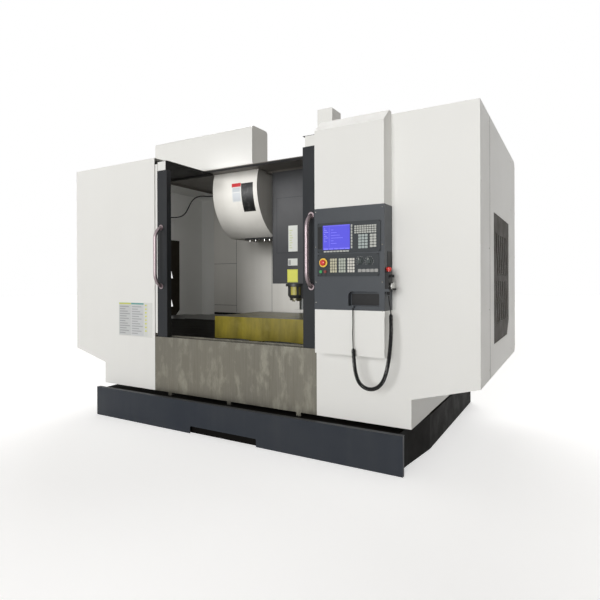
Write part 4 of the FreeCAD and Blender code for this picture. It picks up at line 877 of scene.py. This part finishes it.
# painted shade: near-black blocks fill the gaps between the louvres, where the vent's inside lies in shade
addBlocks("cabinetSlotShade", louvres + cabinet["slotShadeInset"], blackMould, "cabinet_door")
addBlocks("cabinetHandle", [cabinet["handle"]], blackMould, "cabinet_door")
switchX, switchZ = cabinet["switch"]
switchPlace = inFrame([(switchX, cabinet["y"], switchZ)])
addPiece("cabinetSwitch", [turned([(0, -0.5), (44, -0.5), (44, 5), (40, 7), (24, 8), (22, 26), (19, 29), (0, 30)],
                                  switchPlace, inward, 36)], blackMould, "cabinet_door")
print("trims, film and cabinet done")

pendantTop = {"stopAt": (1504, -4, 1412), "crankAt": (1536, -2, 1290),
              "plate": ((1483.5, 19, 1443), (1487, 108, 1555))}
addPiece("pendantStop", [turned([(0, 0), (13, 0), (13, 6), (18, 8), (19, 13), (19, 20), (16, 28), (9, 32), (0, 33)],
                                inFrame([pendantTop["stopAt"]]), upward, 32)], stopRed)
addPiece("crankSleeve", [turned([(0, -0.6), (6.8, -0.6), (6.2, 3), (6.2, 9), (7.6, 14), (6.6, 18), (0, 18.6)],
                                inFrame([pendantTop["crankAt"]]), across, 20)], blackMould, "hand_wheel")
addBlocks("sidePlate", [pendantTop["plate"]], blackMould)
print("pendant details done")

light = {"world": 0.27, "worldColor": (1, 0.95, 0.885, 1), "floorReach": 40, "floorZ": -0.0005,
         "floorGlow": 0.55,
         "key": 2.2, "keyFrom": (0.05, -1, 0.14), "keySoft": 30,
         "rear": 1.4, "rearFrom": (-0.5, 1, 0.9), "rearSoft": 40,
         "workPower": 6.0, "workSize": (1.2, 0.4), "workPlace": (-850, 300, 2300), "workAim": (-900, 1850, 1150)}


def seenDirectly(tree):  # 1 for what the camera, a mirror or a pane looks at
    rays = tree.nodes.new("ShaderNodeLightPath").outputs
    seen = maths(tree, "MAXIMUM", rays["Is Camera Ray"], rays["Is Glossy Ray"])
    return maths(tree, "MAXIMUM", seen, rays["Is Transmission Ray"])


def mixedShader(tree, share, first, second, output):  # the second shader where the share is 1, sent to the output
    mix = addNode(tree, "ShaderNodeMixShader", {0: share, 1: first, 2: second})
    tree.links.new(mix.outputs[0], tree.nodes.new(output).inputs["Surface"])


def paleStage():  # a floor near white that still takes the machine's shadow
    material = bpy.data.materials.new("paleFloor")
    material.use_nodes = True
    tree = material.node_tree
    tree.nodes.clear()
    grain = spread(tree, noise(tree, objectPlace(tree), 60, 3), 0.3, 0.7, 0.76, 0.8)
    grey = addNode(tree, "ShaderNodeCombineColor", {"Red": grain, "Green": grain, "Blue": grain}).outputs[0]
    diffuse = addNode(tree, "ShaderNodeBsdfDiffuse", {"Color": grey}).outputs[0]
    glow = addNode(tree, "ShaderNodeEmission", {"Color": (1, 1, 1, 1), "Strength": light["floorGlow"]}).outputs[0]
    both = addNode(tree, "ShaderNodeAddShader", {0: diffuse, 1: glow}).outputs[0]
    mixedShader(tree, seenDirectly(tree), diffuse, both, "ShaderNodeOutputMaterial")
    return material


floorMesh = bpy.data.meshes.new("floor")
corners = np.array([(-1, -1), (1, -1), (1, 1), (-1, 1)]) * light["floorReach"]
floorMesh.from_pydata([(x, y, light["floorZ"]) for x, y in corners.tolist()], [], [(0, 1, 2, 3)])
floorMesh.materials.append(paleStage())
linked("floor", floorMesh)

world = bpy.data.worlds.new("studio")
bpy.context.scene.world = world
world.use_nodes = True
tree = world.node_tree
tree.nodes.clear()
dim = addNode(tree, "ShaderNodeBackground", {"Color": light["worldColor"], "Strength": light["world"]}).outputs[0]
white = addNode(tree, "ShaderNodeBackground", {"Color": (1, 1, 1, 1), "Strength": 1.0}).outputs[0]
mixedShader(tree, seenDirectly(tree), dim, white, "ShaderNodeOutputWorld")


def turnTowards(obj, backwards):  # a lamp shines along its own -Z
    obj.rotation_euler = Vector(backwards).to_track_quat("Z", "Y").to_euler()


for name in ("key", "rear"):  # suns some degrees wide
    lamp = bpy.data.lights.new(name + "Light", "SUN")
    lamp.energy, lamp.angle = light[name], math.radians(light[name + "Soft"])
    turnTowards(linked(name + "Light", lamp), light[name + "From"])
workLamp = bpy.data.lights.new("workLamp", "AREA")
workLamp.shape = "RECTANGLE"
workLamp.size, workLamp.size_y = light["workSize"]
workLamp.energy = light["workPower"]
workPiece = linked("workLamp", workLamp)
workPiece.location = inFrame(light["workPlace"])
turnTowards(workPiece, inFrame(light["workPlace"]) - inFrame(light["workAim"]))

view = {"focal": 478.7776, "frame": 600, "yaw": 0.523474, "pitch": 0.00181131, "roll": -0.00327052,
        "sensor": 36, "middle": (300.034, 281.6455), "place": (2.62841, -4.66451, 1.35)}
yaw, pitch, roll = view["yaw"], view["pitch"], view["roll"]
forward = np.array([-math.sin(yaw) * math.cos(pitch), math.cos(yaw) * math.cos(pitch), -math.sin(pitch)])
level = np.array([math.cos(yaw), math.sin(yaw), 0])
rise = np.cross(level, forward)
right = level * math.cos(roll) + rise * math.sin(roll)
top = rise * math.cos(roll) - level * math.sin(roll)
cameraData = bpy.data.cameras.new("camera")
cameraData.sensor_fit = "HORIZONTAL"
cameraData.sensor_width = view["sensor"]
cameraData.lens = view["focal"] / view["frame"] * view["sensor"]
cameraData.shift_x = (view["frame"] / 2 - view["middle"][0]) / view["frame"]
cameraData.shift_y = (view["middle"][1] - view["frame"] / 2) / view["frame"]
cameraData.clip_end = 200
camera = linked("camera", cameraData)
camera.matrix_world = Matrix(np.c_[np.c_[right, top, -forward, view["place"]].T, [0, 0, 0, 1]].T.tolist())
bpy.context.scene.camera = camera
bpy.context.scene.view_settings.view_transform = "Standard"
print("stage, light and camera set")
